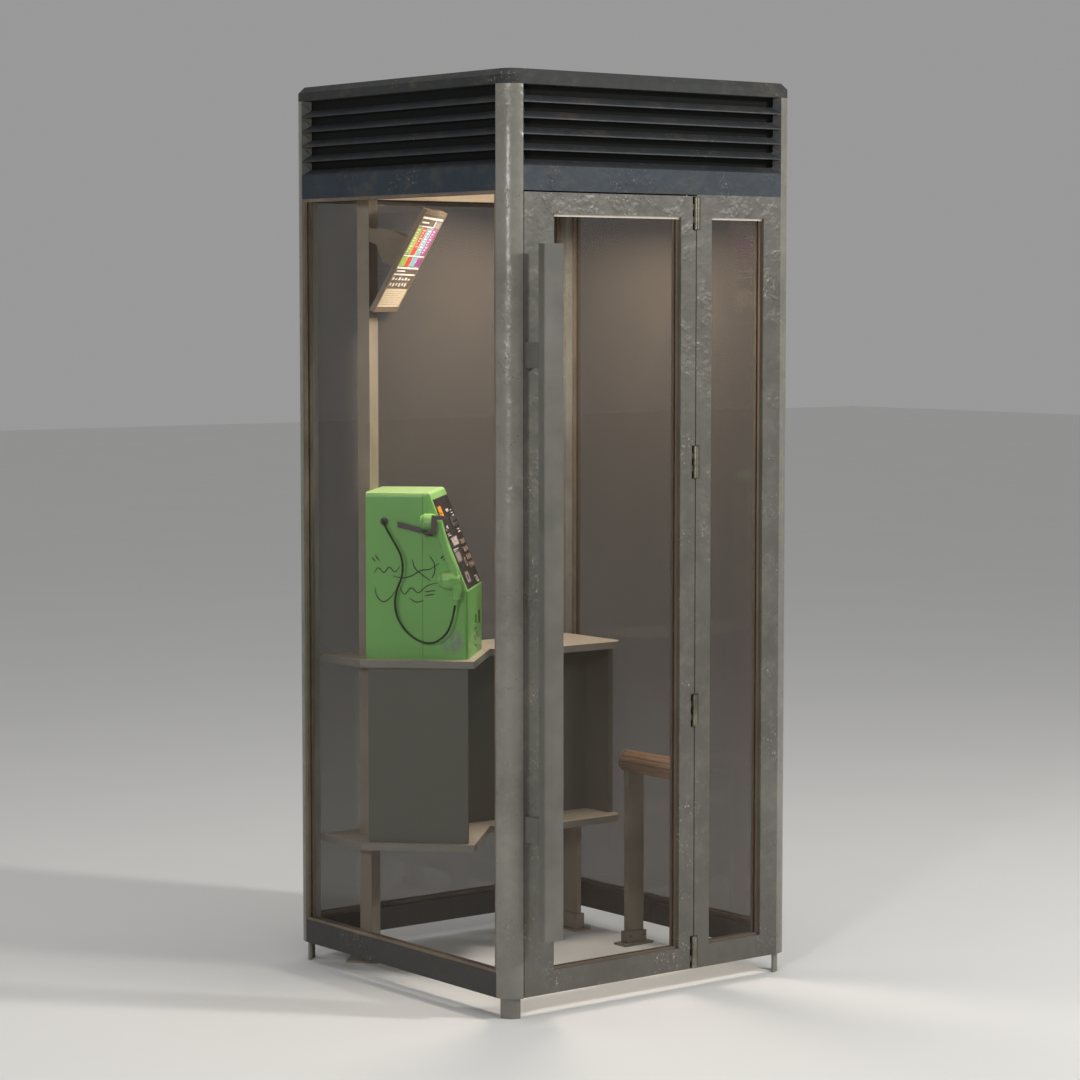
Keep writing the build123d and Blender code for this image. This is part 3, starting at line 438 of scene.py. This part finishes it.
NODE_PAINT = {
    "corner_posts": "frame", "feet": "frame", "base_rails": "rails", "header_rails": "header",
    "louvre_sills": "louvre", "louvre_slats": "louvre", "roof_cap": "roof", "ceiling_panel": "ceiling",
    "lamp_housing": "lamp_tray", "lamp_tubes": "lamp_tube", "lamp_diffuser": "diffuser",
    "wall_glass": "wall_glass", "wall_beads": "bead",
    "side_panel_frame": "leaf", "side_panel_glass": "glass", "side_panel_beads": "leaf_bead",
    "hinge_fixed_knuckles": "hinge", "hinge_pins": "hinge",
    "door_frame": "leaf", "door_glass": "glass", "door_beads": "leaf_bead", "hinge_door_knuckles": "hinge",
    "pull_bar": "bar", "pull_bar_arms": "bar", "shelf_top": "shelf", "shelf_bottom": "shelf",
    "cabinet_side_left": "cabinet", "cabinet_side_right": "cabinet", "cabinet_back": "cabinet",
    "back_column": "column", "shelf_leg": "column", "perch_rail": "wood", "perch_posts": "perch_metal",
    "sign_frame": "sign_tray", "sign_face": "sign_print", "sign_bracket": "sign_tray",
    "phone_rear_case": "phone", "phone_front_case": "phone", "phone_faceplate": "plate",
    "display_window": "window", "card_slot": "hook", "return_flap": "flap", "hook_lever": "hook",
    "hook_pivot": "hook", "handset_body": "handset", "handset_caps": "handset",
    "cord_grommet": "gland", "handset_cord": "armour",
}
EDGE_SOFTNESS = {
    "corner_posts": 0.0008, "feet": 0.0008, "base_rails": 0.001, "header_rails": 0.001,
    "roof_cap": 0.0015, "side_panel_frame": 0.0012, "door_frame": 0.0012, "pull_bar": 0.0008,
    "pull_bar_arms": 0.001, "shelf_top": 0.0012, "shelf_bottom": 0.0012, "sign_frame": 0.001,
    "cabinet_side_left": 0.0008, "cabinet_side_right": 0.0008, "cabinet_back": 0.0008,
    "back_column": 0.001, "shelf_leg": 0.001, "perch_posts": 0.0008, "sign_bracket": 0.0006,
}


def finish_nodes():
    """Give every CAD part its material, smooth shading and softened edges."""
    for name, node in NODES.items():
        paint = PAINT["keys" if name.startswith("key_") else NODE_PAINT[name]]
        node.data.materials.clear()
        node.data.materials.append(paint)
        node.data.polygons.foreach_set("use_smooth", [True] * len(node.data.polygons))
        node.data.set_sharp_from_angle(angle=math.radians(32))
        if name in EDGE_SOFTNESS:
            bevel = node.modifiers.new("soft_edges", "BEVEL")
            bevel.width = EDGE_SOFTNESS[name]
            bevel.segments = 2
            bevel.limit_method = "ANGLE"
            bevel.angle_limit = math.radians(40)
            bevel.harden_normals = True
    melt = NODES["handset_body"].modifiers.new("melt", "REMESH")
    melt.mode = "VOXEL"
    melt.voxel_size = 0.0014
    melt.use_smooth_shade = True
    relax = NODES["handset_body"].modifiers.new("relax", "SMOOTH")
    relax.factor = 0.5
    relax.iterations = 14


finish_nodes()


# --- Studio -------------------------------------------------------------------------------------------
def add_light(name, location, target, size, power, colour):
    """A soft square light aimed at a point."""
    data = bpy.data.lights.new(name, "AREA")
    data.size = size
    data.energy = power
    data.color = colour
    light = bpy.data.objects.new(name, data)
    light.location = location
    direction = Vector(target) - Vector(location)
    light.rotation_euler = direction.to_track_quat("-Z", "Y").to_euler()
    bpy.context.collection.objects.link(light)
    return light


def add_studio():
    """Pale floor, pale surroundings and soft lights."""
    mesh = bpy.data.meshes.new("floor")
    reach = 30.0
    corners = [(-reach, -reach, 0), (reach, -reach, 0), (reach, reach, 0), (-reach, reach, 0)]
    mesh.from_pydata(corners, [], [(0, 1, 2, 3)])
    floor = bpy.data.objects.new("floor", mesh)
    bpy.context.collection.objects.link(floor)
    made = Finish("floor", 0.7)
    made.colour(made.mix(made.noise(1.5, 3.0), (0.84, 0.84, 0.83), (0.88, 0.88, 0.87)))
    mesh.materials.append(made.material)
    world = bpy.data.worlds.new("studio")
    world.use_nodes = True
    world.node_tree.nodes["Background"].inputs["Color"].default_value = (0.80, 0.80, 0.80, 1.0)
    world.node_tree.nodes["Background"].inputs["Strength"].default_value = 0.40
    bpy.context.scene.world = world
    add_light("key", (3.2, -4.6, 3.7), (0.0, -0.3, 1.2), 0.45, 185.0, (1.0, 0.97, 0.92))
    add_light("corner", (-5.0, -3.5, 2.4), (-0.4, -0.3, 1.1), 0.55, 85.0, (1.0, 0.98, 0.95))
    add_light("top", (0.0, 0.0, 5.0), (0.0, 0.0, 1.0), 3.0, 40.0, (1.0, 0.98, 0.95))
    lamp = (0.0, SHIFT, LAMP_GLOW_Z)
    glow = add_light("lamp_glow", lamp, (-0.2, SHIFT, 0.6), 0.50, 27.0, (1.0, 0.91, 0.80))
    glow.visible_glossy = False
    bpy.context.scene.view_settings.view_transform = "Standard"


add_studio()


# --- The cord -----------------------------------------------------------------------------------------
# The same route as part.py's cord, as (u, w, z), in metres.
CORD_ROUTE = [
    (-0.386, -0.099, 1.091),
    (-0.379, -0.119, 1.080),
    (-0.358, -0.129, 1.048),
    (-0.335, -0.125, 1.006),
    (-0.334, -0.117, 0.960),
    (-0.352, -0.112, 0.920),
    (-0.358, -0.112, 0.877),
    (-0.343, -0.114, 0.833),
    (-0.308, -0.117, 0.797),
    (-0.261, -0.119, 0.783),
    (-0.224, -0.120, 0.808),
    (-0.2079, -0.120, 0.8466),
    (-0.2021, -0.120, 0.8842),
]


def link_object(name, mesh, body, paint):
    """A new piece that rides on a body."""
    piece = bpy.data.objects.new(name, mesh)
    bpy.context.collection.objects.link(piece)
    piece.data.materials.append(paint)
    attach(piece, body)
    return piece


def spline_line(points):
    """The centre line of the smooth curve through the route."""
    curve = bpy.data.curves.new("route", "CURVE")
    curve.dimensions = "3D"
    spline = curve.splines.new("NURBS")
    spline.points.add(len(points) - 1)
    for point, control in zip(points, spline.points):
        control.co = (*point, 1.0)
    spline.order_u = 3
    spline.use_endpoint_u = True
    spline.resolution_u = 12
    holder = bpy.data.objects.new("route", curve)
    bpy.context.collection.objects.link(holder)
    bpy.context.view_layer.update()
    line = bpy.data.meshes.new_from_object(holder.evaluated_get(bpy.context.evaluated_depsgraph_get()))
    path = [vertex.co.copy() for vertex in line.vertices]
    bpy.data.objects.remove(holder)
    bpy.data.curves.remove(curve)
    bpy.data.meshes.remove(line)
    return path


def resample(path, step):
    """Points a constant step apart along a line, both ends kept."""
    lengths = [0.0]
    for before, after in zip(path, path[1:]):
        lengths.append(lengths[-1] + (after - before).length)
    count = max(2, round(lengths[-1] / step))
    result = []
    index = 0
    for number in range(count + 1):
        target = lengths[-1] * number / count
        while index < len(path) - 2 and lengths[index + 1] < target:
            index += 1
        run = lengths[index + 1] - lengths[index]
        part = (target - lengths[index]) / run if run else 0.0
        result.append(path[index].lerp(path[index + 1], part))
    return result


def tube_mesh(name, path, radii, sides):
    """A closed tube along a line, with a radius for each point."""
    form = bmesh.new()
    direction = (path[1] - path[0]).normalized()
    across = direction.orthogonal().normalized()
    rings = []
    for index, point in enumerate(path):
        ahead = path[min(index + 1, len(path) - 1)] - path[max(index - 1, 0)]
        ahead.normalize()
        across = (across - ahead * across.dot(ahead)).normalized()
        up = ahead.cross(across)
        ring = []
        for side in range(sides):
            angle = 2 * math.pi * side / sides
            offset = across * math.cos(angle) + up * math.sin(angle)
            ring.append(form.verts.new(point + offset * radii[index]))
        rings.append(ring)
    for before, after in zip(rings, rings[1:]):
        for side in range(sides):
            following = (side + 1) % sides
            form.faces.new((before[side], before[following], after[following], after[side]))
    form.faces.new(list(reversed(rings[0])))
    form.faces.new(rings[-1])
    bmesh.ops.recalc_face_normals(form, faces=form.faces[:])
    mesh = bpy.data.meshes.new(name)
    form.to_mesh(mesh)
    form.free()
    mesh.polygons.foreach_set("use_smooth", [True] * len(mesh.polygons))
    return mesh


def add_cord():
    """The armoured cord: a ribbed hose that bends between the case and the handset."""
    line = spline_line([place(*point) for point in CORD_ROUTE])
    rib = 0.0014
    groove = 0.00035
    path = resample(line, rib)
    radii = [CORD_D / 2 - (groove if index % 2 else 0.0) for index in range(len(path))]
    mesh = tube_mesh("armoured_cord", path, radii, 12)
    cord = bpy.data.objects.new("armoured_cord", mesh)
    bpy.context.collection.objects.link(cord)
    mesh.materials.append(PAINT["armour"])
    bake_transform(cord)
    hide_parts("handset_cord")


add_cord()


# --- Boxes and turns ----------------------------------------------------------------------------------
def add_solid_box(form, low, high, ease, turn=None):
    """A box with eased edges, between two corners, added to a mesh under construction."""
    made = bmesh.ops.create_cube(form, size=1.0)
    verts = made["verts"]
    for vertex in verts:
        for axis in range(3):
            middle = (low[axis] + high[axis]) / 2
            vertex.co[axis] = middle + vertex.co[axis] * (high[axis] - low[axis])
    edges = list({edge for vertex in verts for edge in vertex.link_edges})
    eased = bmesh.ops.bevel(form, geom=edges, offset=ease, segments=2, affect="EDGES", profile=0.5)
    if turn is not None:
        corners = {vertex for face in eased["faces"] for vertex in face.verts}
        corners |= {vertex for vertex in verts if vertex.is_valid}
        for vertex in corners:
            vertex.co = turn(vertex.co)


def finished_mesh(name, form, angle=32):
    """Close a mesh under construction, smooth but for its sharp edges."""
    bmesh.ops.recalc_face_normals(form, faces=form.faces[:])
    mesh = bpy.data.meshes.new(name)
    form.to_mesh(mesh)
    form.free()
    mesh.polygons.foreach_set("use_smooth", [True] * len(mesh.polygons))
    mesh.set_sharp_from_angle(angle=math.radians(angle))
    return mesh


def quarter_turn(quarter):
    """A turn about the booth's middle by a number of right angles."""
    cos = round(math.cos(quarter * math.pi / 2))
    sin = round(math.sin(quarter * math.pi / 2))

    def turn(point):
        y = point[1] - SHIFT
        return Vector((point[0] * cos - y * sin, point[0] * sin + y * cos + SHIFT, point[2]))

    return turn


# --- Louvre shade sheets: painted shade behind the slats ----------------------------------------------
def add_louvre_shade_sheets():
    """A near-black folded sheet behind each set of slats: painted shade for the dark seen between them."""
    sheet = 0.0015
    fold = 0.010
    ease = 0.0004
    inner = HALF - POST - 0.0005
    back = SHIFT - HALF + 0.030
    floor_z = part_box("louvre_sills")[0][2] + 0.0092
    top_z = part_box("roof_cap")[0][2] + 0.006
    for quarter in range(4):
        form = bmesh.new()
        turn = quarter_turn(quarter)
        add_solid_box(form, (-inner, back, floor_z), (inner, back + sheet, top_z), ease, turn)
        add_solid_box(form, (-inner, back, floor_z), (inner, back + fold, floor_z + sheet), ease, turn)
        add_solid_box(form, (-inner, back, top_z - sheet), (inner, back + fold, top_z), ease, turn)
        mesh = finished_mesh("shade_sheet", form)
        # each sheet is near-black painted shade, seen between the slats
        piece = link_object(f"louvre_shade_sheet_{quarter + 1}", mesh, "booth", PAINT["void"])


add_louvre_shade_sheets()


# --- Door seal ----------------------------------------------------------------------------------------
def add_door_stop():
    """The rubber draught seal under the header that the door closes against: a strip with a lip below."""
    back = SHIFT - HALF + 0.0366
    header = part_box("header_rails")[0][2]
    door_low, door_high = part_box("door_frame")
    left = door_low[0]
    right = door_high[0]
    ease = 0.001
    form = bmesh.new()
    add_solid_box(form, (left, back, header - 0.012), (right, back + 0.008, header - 0.0003), ease)
    add_solid_box(form, (left, back + 0.002, header - 0.016), (right, back + 0.005, header - 0.011), ease)
    piece = link_object("door_stop_top", finished_mesh("door_stop_top", form), "booth", PAINT["gasket"])


add_door_stop()


# --- Printed and drawn marks --------------------------------------------------------------------------
MARK = 0.0004  # how far a printed mark stands proud
SIGN_LENGTH = math.hypot(SIGN_HIGH[0] - SIGN_LOW[0], SIGN_HIGH[1] - SIGN_LOW[1])
SIGN_MARGIN = 0.0135  # the print starts this far in from the tray's edge
SHEET_SUNK = 0.001  # the printed sheet lies this far behind the tray's lip


def face_point(x, y, lift):
    """A point on the telephone's sloping face: x across, y up the slope, lift out of it."""
    slope = math.atan2(FACE_HEAD[1] - FACE_FOOT[1], FACE_FOOT[0] - FACE_HEAD[0])
    out = (math.sin(slope), math.cos(slope))
    u = FACE_FOOT[0] - y * out[1] + lift * out[0]
    z = FACE_FOOT[1] + y * out[0] + lift * out[1]
    return place(u, PHONE_MID + x, z)


def sign_point(x, y, lift):
    """A point on the sign's printed face: x across, y up from its lower edge, lift out of it."""
    along = ((SIGN_HIGH[0] - SIGN_LOW[0]) / SIGN_LENGTH, (SIGN_HIGH[1] - SIGN_LOW[1]) / SIGN_LENGTH)
    out = (along[1], -along[0])
    lift = lift - SHEET_SUNK
    u = SIGN_LOW[0] + along[0] * y + out[0] * lift
    z = SIGN_LOW[1] + along[1] * y + out[1] * lift
    return place(u, x, z)


def add_plate(form, to_point, left, right, low, high, top):
    """A thin plate on a face, a little smaller at its top than at its foot, which is sunk in the face."""
    sunk = 0.0003
    ease = min(0.0004, (right - left) / 4, (high - low) / 4)
    foot = [form.verts.new(to_point(x, y, -sunk)) for x, y in
            ((left, low), (right, low), (right, high), (left, high))]
    head = [form.verts.new(to_point(x, y, top)) for x, y in
            ((left + ease, low + ease), (right - ease, low + ease),
             (right - ease, high - ease), (left + ease, high - ease))]
    form.faces.new(list(reversed(foot)))
    form.faces.new(head)
    for index in range(4):
        following = (index + 1) % 4
        form.faces.new((foot[index], foot[following], head[following], head[index]))


def add_marks(name, to_point, plates, paint, top=MARK):
    """One piece made of several thin plates."""
    form = bmesh.new()
    for left, right, low, high in plates:
        add_plate(form, to_point, left, right, low, high, top)
    piece = link_object(name, finished_mesh(name, form), "booth", PAINT[paint])


def add_fascia_marks():
    """Plain blocks, bars and dots in place of the print on the telephone's face."""
    add_marks("fascia_label", face_point, [(-0.098, -0.046, 0.190, 0.226)], "ink_orange")
    shade = [(-0.090, -0.070, 0.196, 0.201), (-0.090, -0.060, 0.206, 0.2085)]
    add_marks("fascia_label_lines", face_point, shade, "ink_black", top=0.0006)
    white = [(-0.102, -0.050, 0.146, 0.1475), (-0.102, -0.066, 0.151, 0.1525)]
    white += [(-0.102, -0.020, 0.1085, 0.1105), (-0.102, -0.036, 0.1045, 0.1060)]
    white += [(-0.074, -0.062, 0.166, 0.172), (-0.058, -0.052, 0.164, 0.174), (-0.090, -0.085, 0.160, 0.165)]
    for index in range(9):
        y = 0.205 - index * 0.0075
        white.append((0.070, 0.086 + 0.010 * (index % 3), y, y + 0.0028))
    for index in range(4):
        y = 0.024 - index * 0.0052
        white.append((0.052 + 0.008 * (index % 2), 0.104, y, y + 0.0020))
    for index in range(3):
        white.append((0.010 + 0.014 * index, 0.018 + 0.014 * index, 0.205, 0.213))
    add_marks("fascia_lines", face_point, white, "ink_white")
    frame_lines = [(0.000, 0.022, 0.058, 0.0595), (0.000, 0.022, 0.0785, 0.080)]
    frame_lines += [(0.000, 0.0015, 0.058, 0.080), (0.0205, 0.022, 0.058, 0.080)]
    add_marks("fascia_square", face_point, frame_lines, "ink_white")
    add_marks("fascia_panel", face_point, [(-0.100, -0.030, 0.076, 0.101)], "ink_grey")
    add_marks("fascia_patch", face_point, [(-0.072, -0.022, 0.018, 0.046)], "ink_grey")
    patch = [(-0.055, -0.039, 0.025, 0.038)]
    add_marks("fascia_patch_centre", face_point, patch, "ink_black", top=0.0006)


def add_sign_marks():
    """A plain coloured chart on the sign: blocks and bars, with nothing to read."""
    left = SIGN_W[0] + SIGN_MARGIN
    width = SIGN_W[1] - SIGN_MARGIN - left
    height = SIGN_LENGTH - 2 * SIGN_MARGIN

    def area(x0, x1, t0, t1):
        """Part of the chart, as shares of its width from the left and of its height from the top."""
        bottom = SIGN_MARGIN + (1 - t1) * height
        return (left + x0 * width, left + x1 * width, bottom, SIGN_MARGIN + (1 - t0) * height)

    columns = (("green", 0.01, 0.23), ("red", 0.26, 0.47), ("blue", 0.50, 0.71), ("purple", 0.74, 0.985))
    for tint, x0, x1 in columns:
        plates = [area(x0, x1, 0.135, 0.425), area(x0, x1, 0.455, 0.555)]
        add_marks(f"sign_{tint}", sign_point, plates, f"ink_{tint}")
    white = [area(0.0, 1.0, 0.020, 0.042), area(0.0, 0.70, 0.115, 0.128), area(0.70, 0.73, 0.05, 0.128)]
    white += [area(0.0, 1.0, 0.432, 0.448), area(0.0, 1.0, 0.562, 0.582), area(0.0, 1.0, 0.635, 0.652)]
    for x in (0.240, 0.480, 0.720):
        white.append(area(x, x + 0.012, 0.135, 0.555))
    for step in range(6):
        white.append(area(0.04 + 0.15 * step, 0.12 + 0.15 * step, 0.675 + 0.012 * (step % 2), 0.705))
        white.append(area(0.05 + 0.14 * step, 0.11 + 0.14 * step, 0.735, 0.765 + 0.010 * (step % 2)))
    white.append(area(0.06, 0.40, 0.072, 0.088))
    white.append(area(0.06, 0.45, 0.600, 0.614))
    add_marks("sign_lines", sign_point, white, "ink_white", top=0.0005)
    pale = []
    for x0, x1, count in ((0.05, 0.16, 9), (0.31, 0.42, 7), (0.55, 0.66, 8), (0.80, 0.90, 9)):
        for step in range(count):
            t = 0.155 + step * 0.029
            pale.append(area(x0, x1 - 0.03 * (step % 3), t, t + 0.014))
    add_marks("sign_column_bars", sign_point, pale, "ink_white", top=0.0007)
    add_marks("sign_foot", sign_point, [area(0.0, 1.0, 0.80, 1.0)], "ink_beige")
    faint = []
    for step in range(7):
        faint.append(area(0.06, 0.90 - 0.08 * (step % 3), 0.822 + step * 0.024, 0.829 + step * 0.024))
    add_marks("sign_foot_lines", sign_point, faint, "ink_grey", top=0.0006)
    add_marks("sign_corner", sign_point, [area(0.74, 1.0, 0.055, 0.125)], "ink_grey")


# Pen strokes on the telephone's near side, as (u, z), and on its front, as (w, z): arcs and dashes that
# spell nothing.
SIDE_STROKES = [
    [(-0.413, 0.960), (-0.402, 0.974), (-0.388, 0.962), (-0.374, 0.976), (-0.360, 0.964), (-0.346, 0.980)],
    [(-0.366, 0.954), (-0.342, 0.949), (-0.318, 0.954), (-0.294, 0.968), (-0.270, 0.972), (-0.246, 0.988)],
    [(-0.315, 0.996), (-0.309, 0.975), (-0.291, 0.958), (-0.268, 0.942)],
    [(-0.272, 1.006), (-0.260, 0.988), (-0.258, 0.966), (-0.266, 0.948)],
    [(-0.411, 0.924), (-0.406, 0.902), (-0.390, 0.888), (-0.372, 0.898), (-0.354, 0.922)],
    [(-0.348, 0.928), (-0.336, 0.908), (-0.318, 0.924), (-0.300, 0.912), (-0.276, 0.930), (-0.248, 0.938)],
    [(-0.322, 0.898), (-0.306, 0.888), (-0.286, 0.892)],
    [(-0.284, 0.914), (-0.256, 0.918)],
    [(-0.284, 0.904), (-0.258, 0.909)],
    [(-0.418, 1.000), (-0.409, 0.989)],
    [(-0.411, 1.007), (-0.399, 0.991)],
]
DASHES = [
    [(-0.243, 0.998), (-0.231, 1.010)],
    [(-0.236, 0.994), (-0.224, 1.008)],
]
FRONT_STROKES = [
    [(0.010, 0.770), (0.030, 0.792), (0.050, 0.778), (0.066, 0.800), (0.090, 0.782), (0.112, 0.796)],
    [(0.020, 0.804), (0.044, 0.810), (0.074, 0.806)],
    [(0.030, 0.766), (0.064, 0.764)],
]


def smooth_line(points, steps=8):
    """A rounded line through a few flat points."""
    ends = [points[0], *points, points[-1]]
    line = []
    for a, b, c, d in zip(ends, ends[1:], ends[2:], ends[3:]):
        for step in range(steps):
            t = step / steps
            line.append(tuple(
                0.5 * (2 * b[i] + (c[i] - a[i]) * t + (2 * a[i] - 5 * b[i] + 4 * c[i] - d[i]) * t ** 2
                       + (3 * b[i] - a[i] - 3 * c[i] + d[i]) * t ** 3) for i in range(2)))
    line.append(points[-1])
    return line


def add_strokes(name, strokes, to_point, width):
    """Flat marker lines that thin out at their ends; to_point takes (along, lift, up)."""
    flatness = 0.25
    form = bmesh.new()
    for points in strokes:
        line = [Vector((along, 0.0, z)) for along, z in smooth_line(points)]
        last = len(line) - 1
        radii = [width * (0.3 + 0.7 * math.sin(math.pi * index / last) ** 0.5) for index in range(last + 1)]
        mesh = tube_mesh("stroke", line, radii, 8)
        for vertex in mesh.vertices:
            vertex.co = to_point(vertex.co.x, vertex.co.y * flatness, vertex.co.z)
        form.from_mesh(mesh)
        bpy.data.meshes.remove(mesh)
    piece = link_object(name, finished_mesh(name, form), "booth", PAINT["ink_black"])


def near_point(u, lift, z):
    """A point on the telephone's near side."""
    return place(u, PHONE_NEAR + lift, z)


def front_point(w, lift, z):
    """A point on the telephone's upright front."""
    return place(FACE_FOOT[0] + lift, w, z)


def add_all_strokes():
    """The marks on the near side and on the front."""
    add_strokes("marker_side", SIDE_STROKES, near_point, 0.0015)
    add_strokes("marker_dashes", DASHES, near_point, 0.0024)
    add_strokes("marker_front", FRONT_STROKES, front_point, 0.0016)


add_fascia_marks()
add_sign_marks()
add_all_strokes()


# --- Perch rail ---------------------------------------------------------------------------------------
PERCH_CAP = 0.010  # length of a metal end cap


def around(middle, y, reach, angle):
    """A point round the perch rail's axis, which runs along Y."""
    return (middle.x + reach * math.cos(angle), y, middle.z + reach * math.sin(angle))


def join_rings(form, rings):
    """A skin of four-sided faces from each ring of points to the next."""
    count = len(rings[0])
    for before, after in zip(rings, rings[1:]):
        for number in range(count):
            following = (number + 1) % count
            form.faces.new((before[number], before[following], after[following], after[number]))


def add_perch_strips(middle, radius, start, end):
    """A round rail of long wooden strips with a groove between each two."""
    strips = 12
    per_strip = 6
    shoulder = 0.35  # the points beside a groove lie this share of a step closer to it
    groove = 0.0030
    count = strips * per_strip
    form = bmesh.new()
    rings = []
    for y in (start, start + 0.002, end - 0.002, end):
        ring = []
        inset = 0.0015 if y in (start, end) else 0.0
        for number in range(count):
            within = number % per_strip
            pull = {1: shoulder, per_strip - 1: -shoulder}.get(within, 0)
            angle = 2 * math.pi * (number + pull) / count
            reach = radius - 0.0008 - inset - (groove if within == 0 else 0.0)
            ring.append(form.verts.new(around(middle, y, reach, angle)))
        rings.append(ring)
    join_rings(form, rings)
    form.faces.new(rings[0])
    form.faces.new(list(reversed(rings[-1])))
    rail = link_object("perch_strips", finished_mesh("perch_strips", form, 50), "booth", PAINT["wood"])
    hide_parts("perch_rail")


def add_perch_caps(middle, radius, start, end):
    """A shallow metal cap on each end of the rail."""
    sides = 48
    profile = [(radius - 0.006, 0.0), (radius - 0.002, 0.0015), (radius, 0.005),
               (radius, PERCH_CAP), (radius - 0.004, PERCH_CAP + 0.0002)]
    form = bmesh.new()
    for face, inwards in ((start, 1), (end, -1)):
        rings = []
        for reach, depth in profile:
            ring = []
            for number in range(sides):
                angle = 2 * math.pi * number / sides
                ring.append(form.verts.new(around(middle, face + inwards * depth, reach, angle)))
            rings.append(ring)
        join_rings(form, rings)
        form.faces.new(rings[0])
        form.faces.new(rings[-1])
    mesh = finished_mesh("perch_end_caps", form)
    caps = link_object("perch_end_caps", mesh, "booth", PAINT["perch_metal"])


def add_perch_rail():
    """The wooden rail and its two end caps, in place of the plain CAD rail."""
    low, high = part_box("perch_rail")
    middle = Vector(((low[0] + high[0]) / 2, 0.0, (low[2] + high[2]) / 2))
    radius = (high[2] - low[2]) / 2
    add_perch_strips(middle, radius, low[1] + PERCH_CAP, high[1] - PERCH_CAP)
    add_perch_caps(middle, radius, low[1], high[1])


add_perch_rail()


# --- Screws -------------------------------------------------------------------------------------------
def add_screw(form, centre, out, radius):
    """A domed screw head with a cross recess."""
    out = out.normalized()
    across = out.orthogonal().normalized()
    up = out.cross(across)
    sides = 24
    rings = []
    shape = ((1.0, -0.10), (1.0, 0.10), (0.90, 0.28), (0.66, 0.42), (0.42, 0.48))
    for reach, lift in shape:
        ring = []
        for number in range(sides):
            angle = 2 * math.pi * number / sides
            offset = (across * math.cos(angle) + up * math.sin(angle)) * reach * radius
            ring.append(form.verts.new(centre + offset + out * lift * radius))
        rings.append(ring)
    recess = []
    for number in range(sides):
        angle = 2 * math.pi * number / sides
        slot = 0.40 if number % (sides // 4) == 0 else 0.12
        offset = (across * math.cos(angle) + up * math.sin(angle)) * slot * radius
        recess.append(form.verts.new(centre + offset + out * 0.18 * radius))
    rings.append(recess)
    join_rings(form, rings)
    form.faces.new(rings[0])
    form.faces.new(recess)


def add_screws():
    """Screw heads on the telephone's face, the sign's bracket, the foot shoes and the pull bar's arms."""
    forms = {"booth": bmesh.new(), "door": bmesh.new()}
    face_out = face_point(0, 0, 1) - face_point(0, 0, 0)
    for y in (0.228, 0.012):
        for x in (-0.110, 0.110):
            add_screw(forms["booth"], face_point(x, y, 0.0002), face_out, FACE_SCREW_R)
    toward_user = place(1, 0, 0) - place(0, 0, 0)
    bracket_u = -0.4303
    bracket_z = 1.8115
    for w in (0.020, 0.062):
        add_screw(forms["booth"], place(bracket_u, w, bracket_z), toward_user, SCREW_R)
    shoe_front = 0.014  # from a perch post's middle to the front of its shoe
    shoe_z = 0.024
    for post_y in PERCH_POST_Y:
        for x in (PERCH_X - 0.022, PERCH_X + 0.022):
            centre = Vector((x, post_y + SHIFT - shoe_front, shoe_z))
            add_screw(forms["booth"], centre, Vector((0, -1, 0)), SCREW_R)
    arm_low, arm_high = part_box("pull_bar_arms")
    for middle in (arm_low[2] + BAR_ARM_H / 2, arm_high[2] - BAR_ARM_H / 2):
        for step in (-0.016, 0.016):
            centre = Vector((arm_low[0], SHIFT - HALF - BAR_GAP / 2, middle + step))
            add_screw(forms["door"], centre, Vector((-1, 0, 0)), ARM_SCREW_R)
    for body, form in forms.items():
        piece = link_object(f"screws_{body}", finished_mesh(f"screws_{body}", form), body, PAINT["hinge"])


add_screws()


# --- Key numerals -------------------------------------------------------------------------------------
KEY_SIGNS = "123456789*0#"
KEY_COLUMNS = 3


def add_key_signs():
    """A raised numeral on each key."""
    for number, sign in enumerate(KEY_SIGNS):
        row, column = divmod(number, KEY_COLUMNS)
        x = KEY_CENTRE[0] + (column - 1) * KEY_PITCH[0]
        y = KEY_CENTRE[1] + (1.5 - row) * KEY_PITCH[1]
        curve = bpy.data.curves.new("numeral", "FONT")
        curve.body = sign
        curve.size = 0.012
        curve.extrude = 0.0002
        curve.align_x = "CENTER"
        curve.align_y = "CENTER"
        curve.resolution_u = 3
        holder = bpy.data.objects.new("numeral", curve)
        bpy.context.collection.objects.link(holder)
        bpy.context.view_layer.update()
        mesh = bpy.data.meshes.new_from_object(holder.evaluated_get(bpy.context.evaluated_depsgraph_get()))
        bpy.data.objects.remove(holder)
        bpy.data.curves.remove(curve)
        for vertex in mesh.vertices:
            vertex.co = face_point(x + vertex.co.x, y + vertex.co.y, NUMERAL_LIFT + vertex.co.z)
        mesh.materials.clear()
        name = f"key_numeral_{number + 1:02d}"
        piece = link_object(name, mesh, f"key_{number + 1:02d}_cap", PAINT["ink_white"])


add_key_signs()
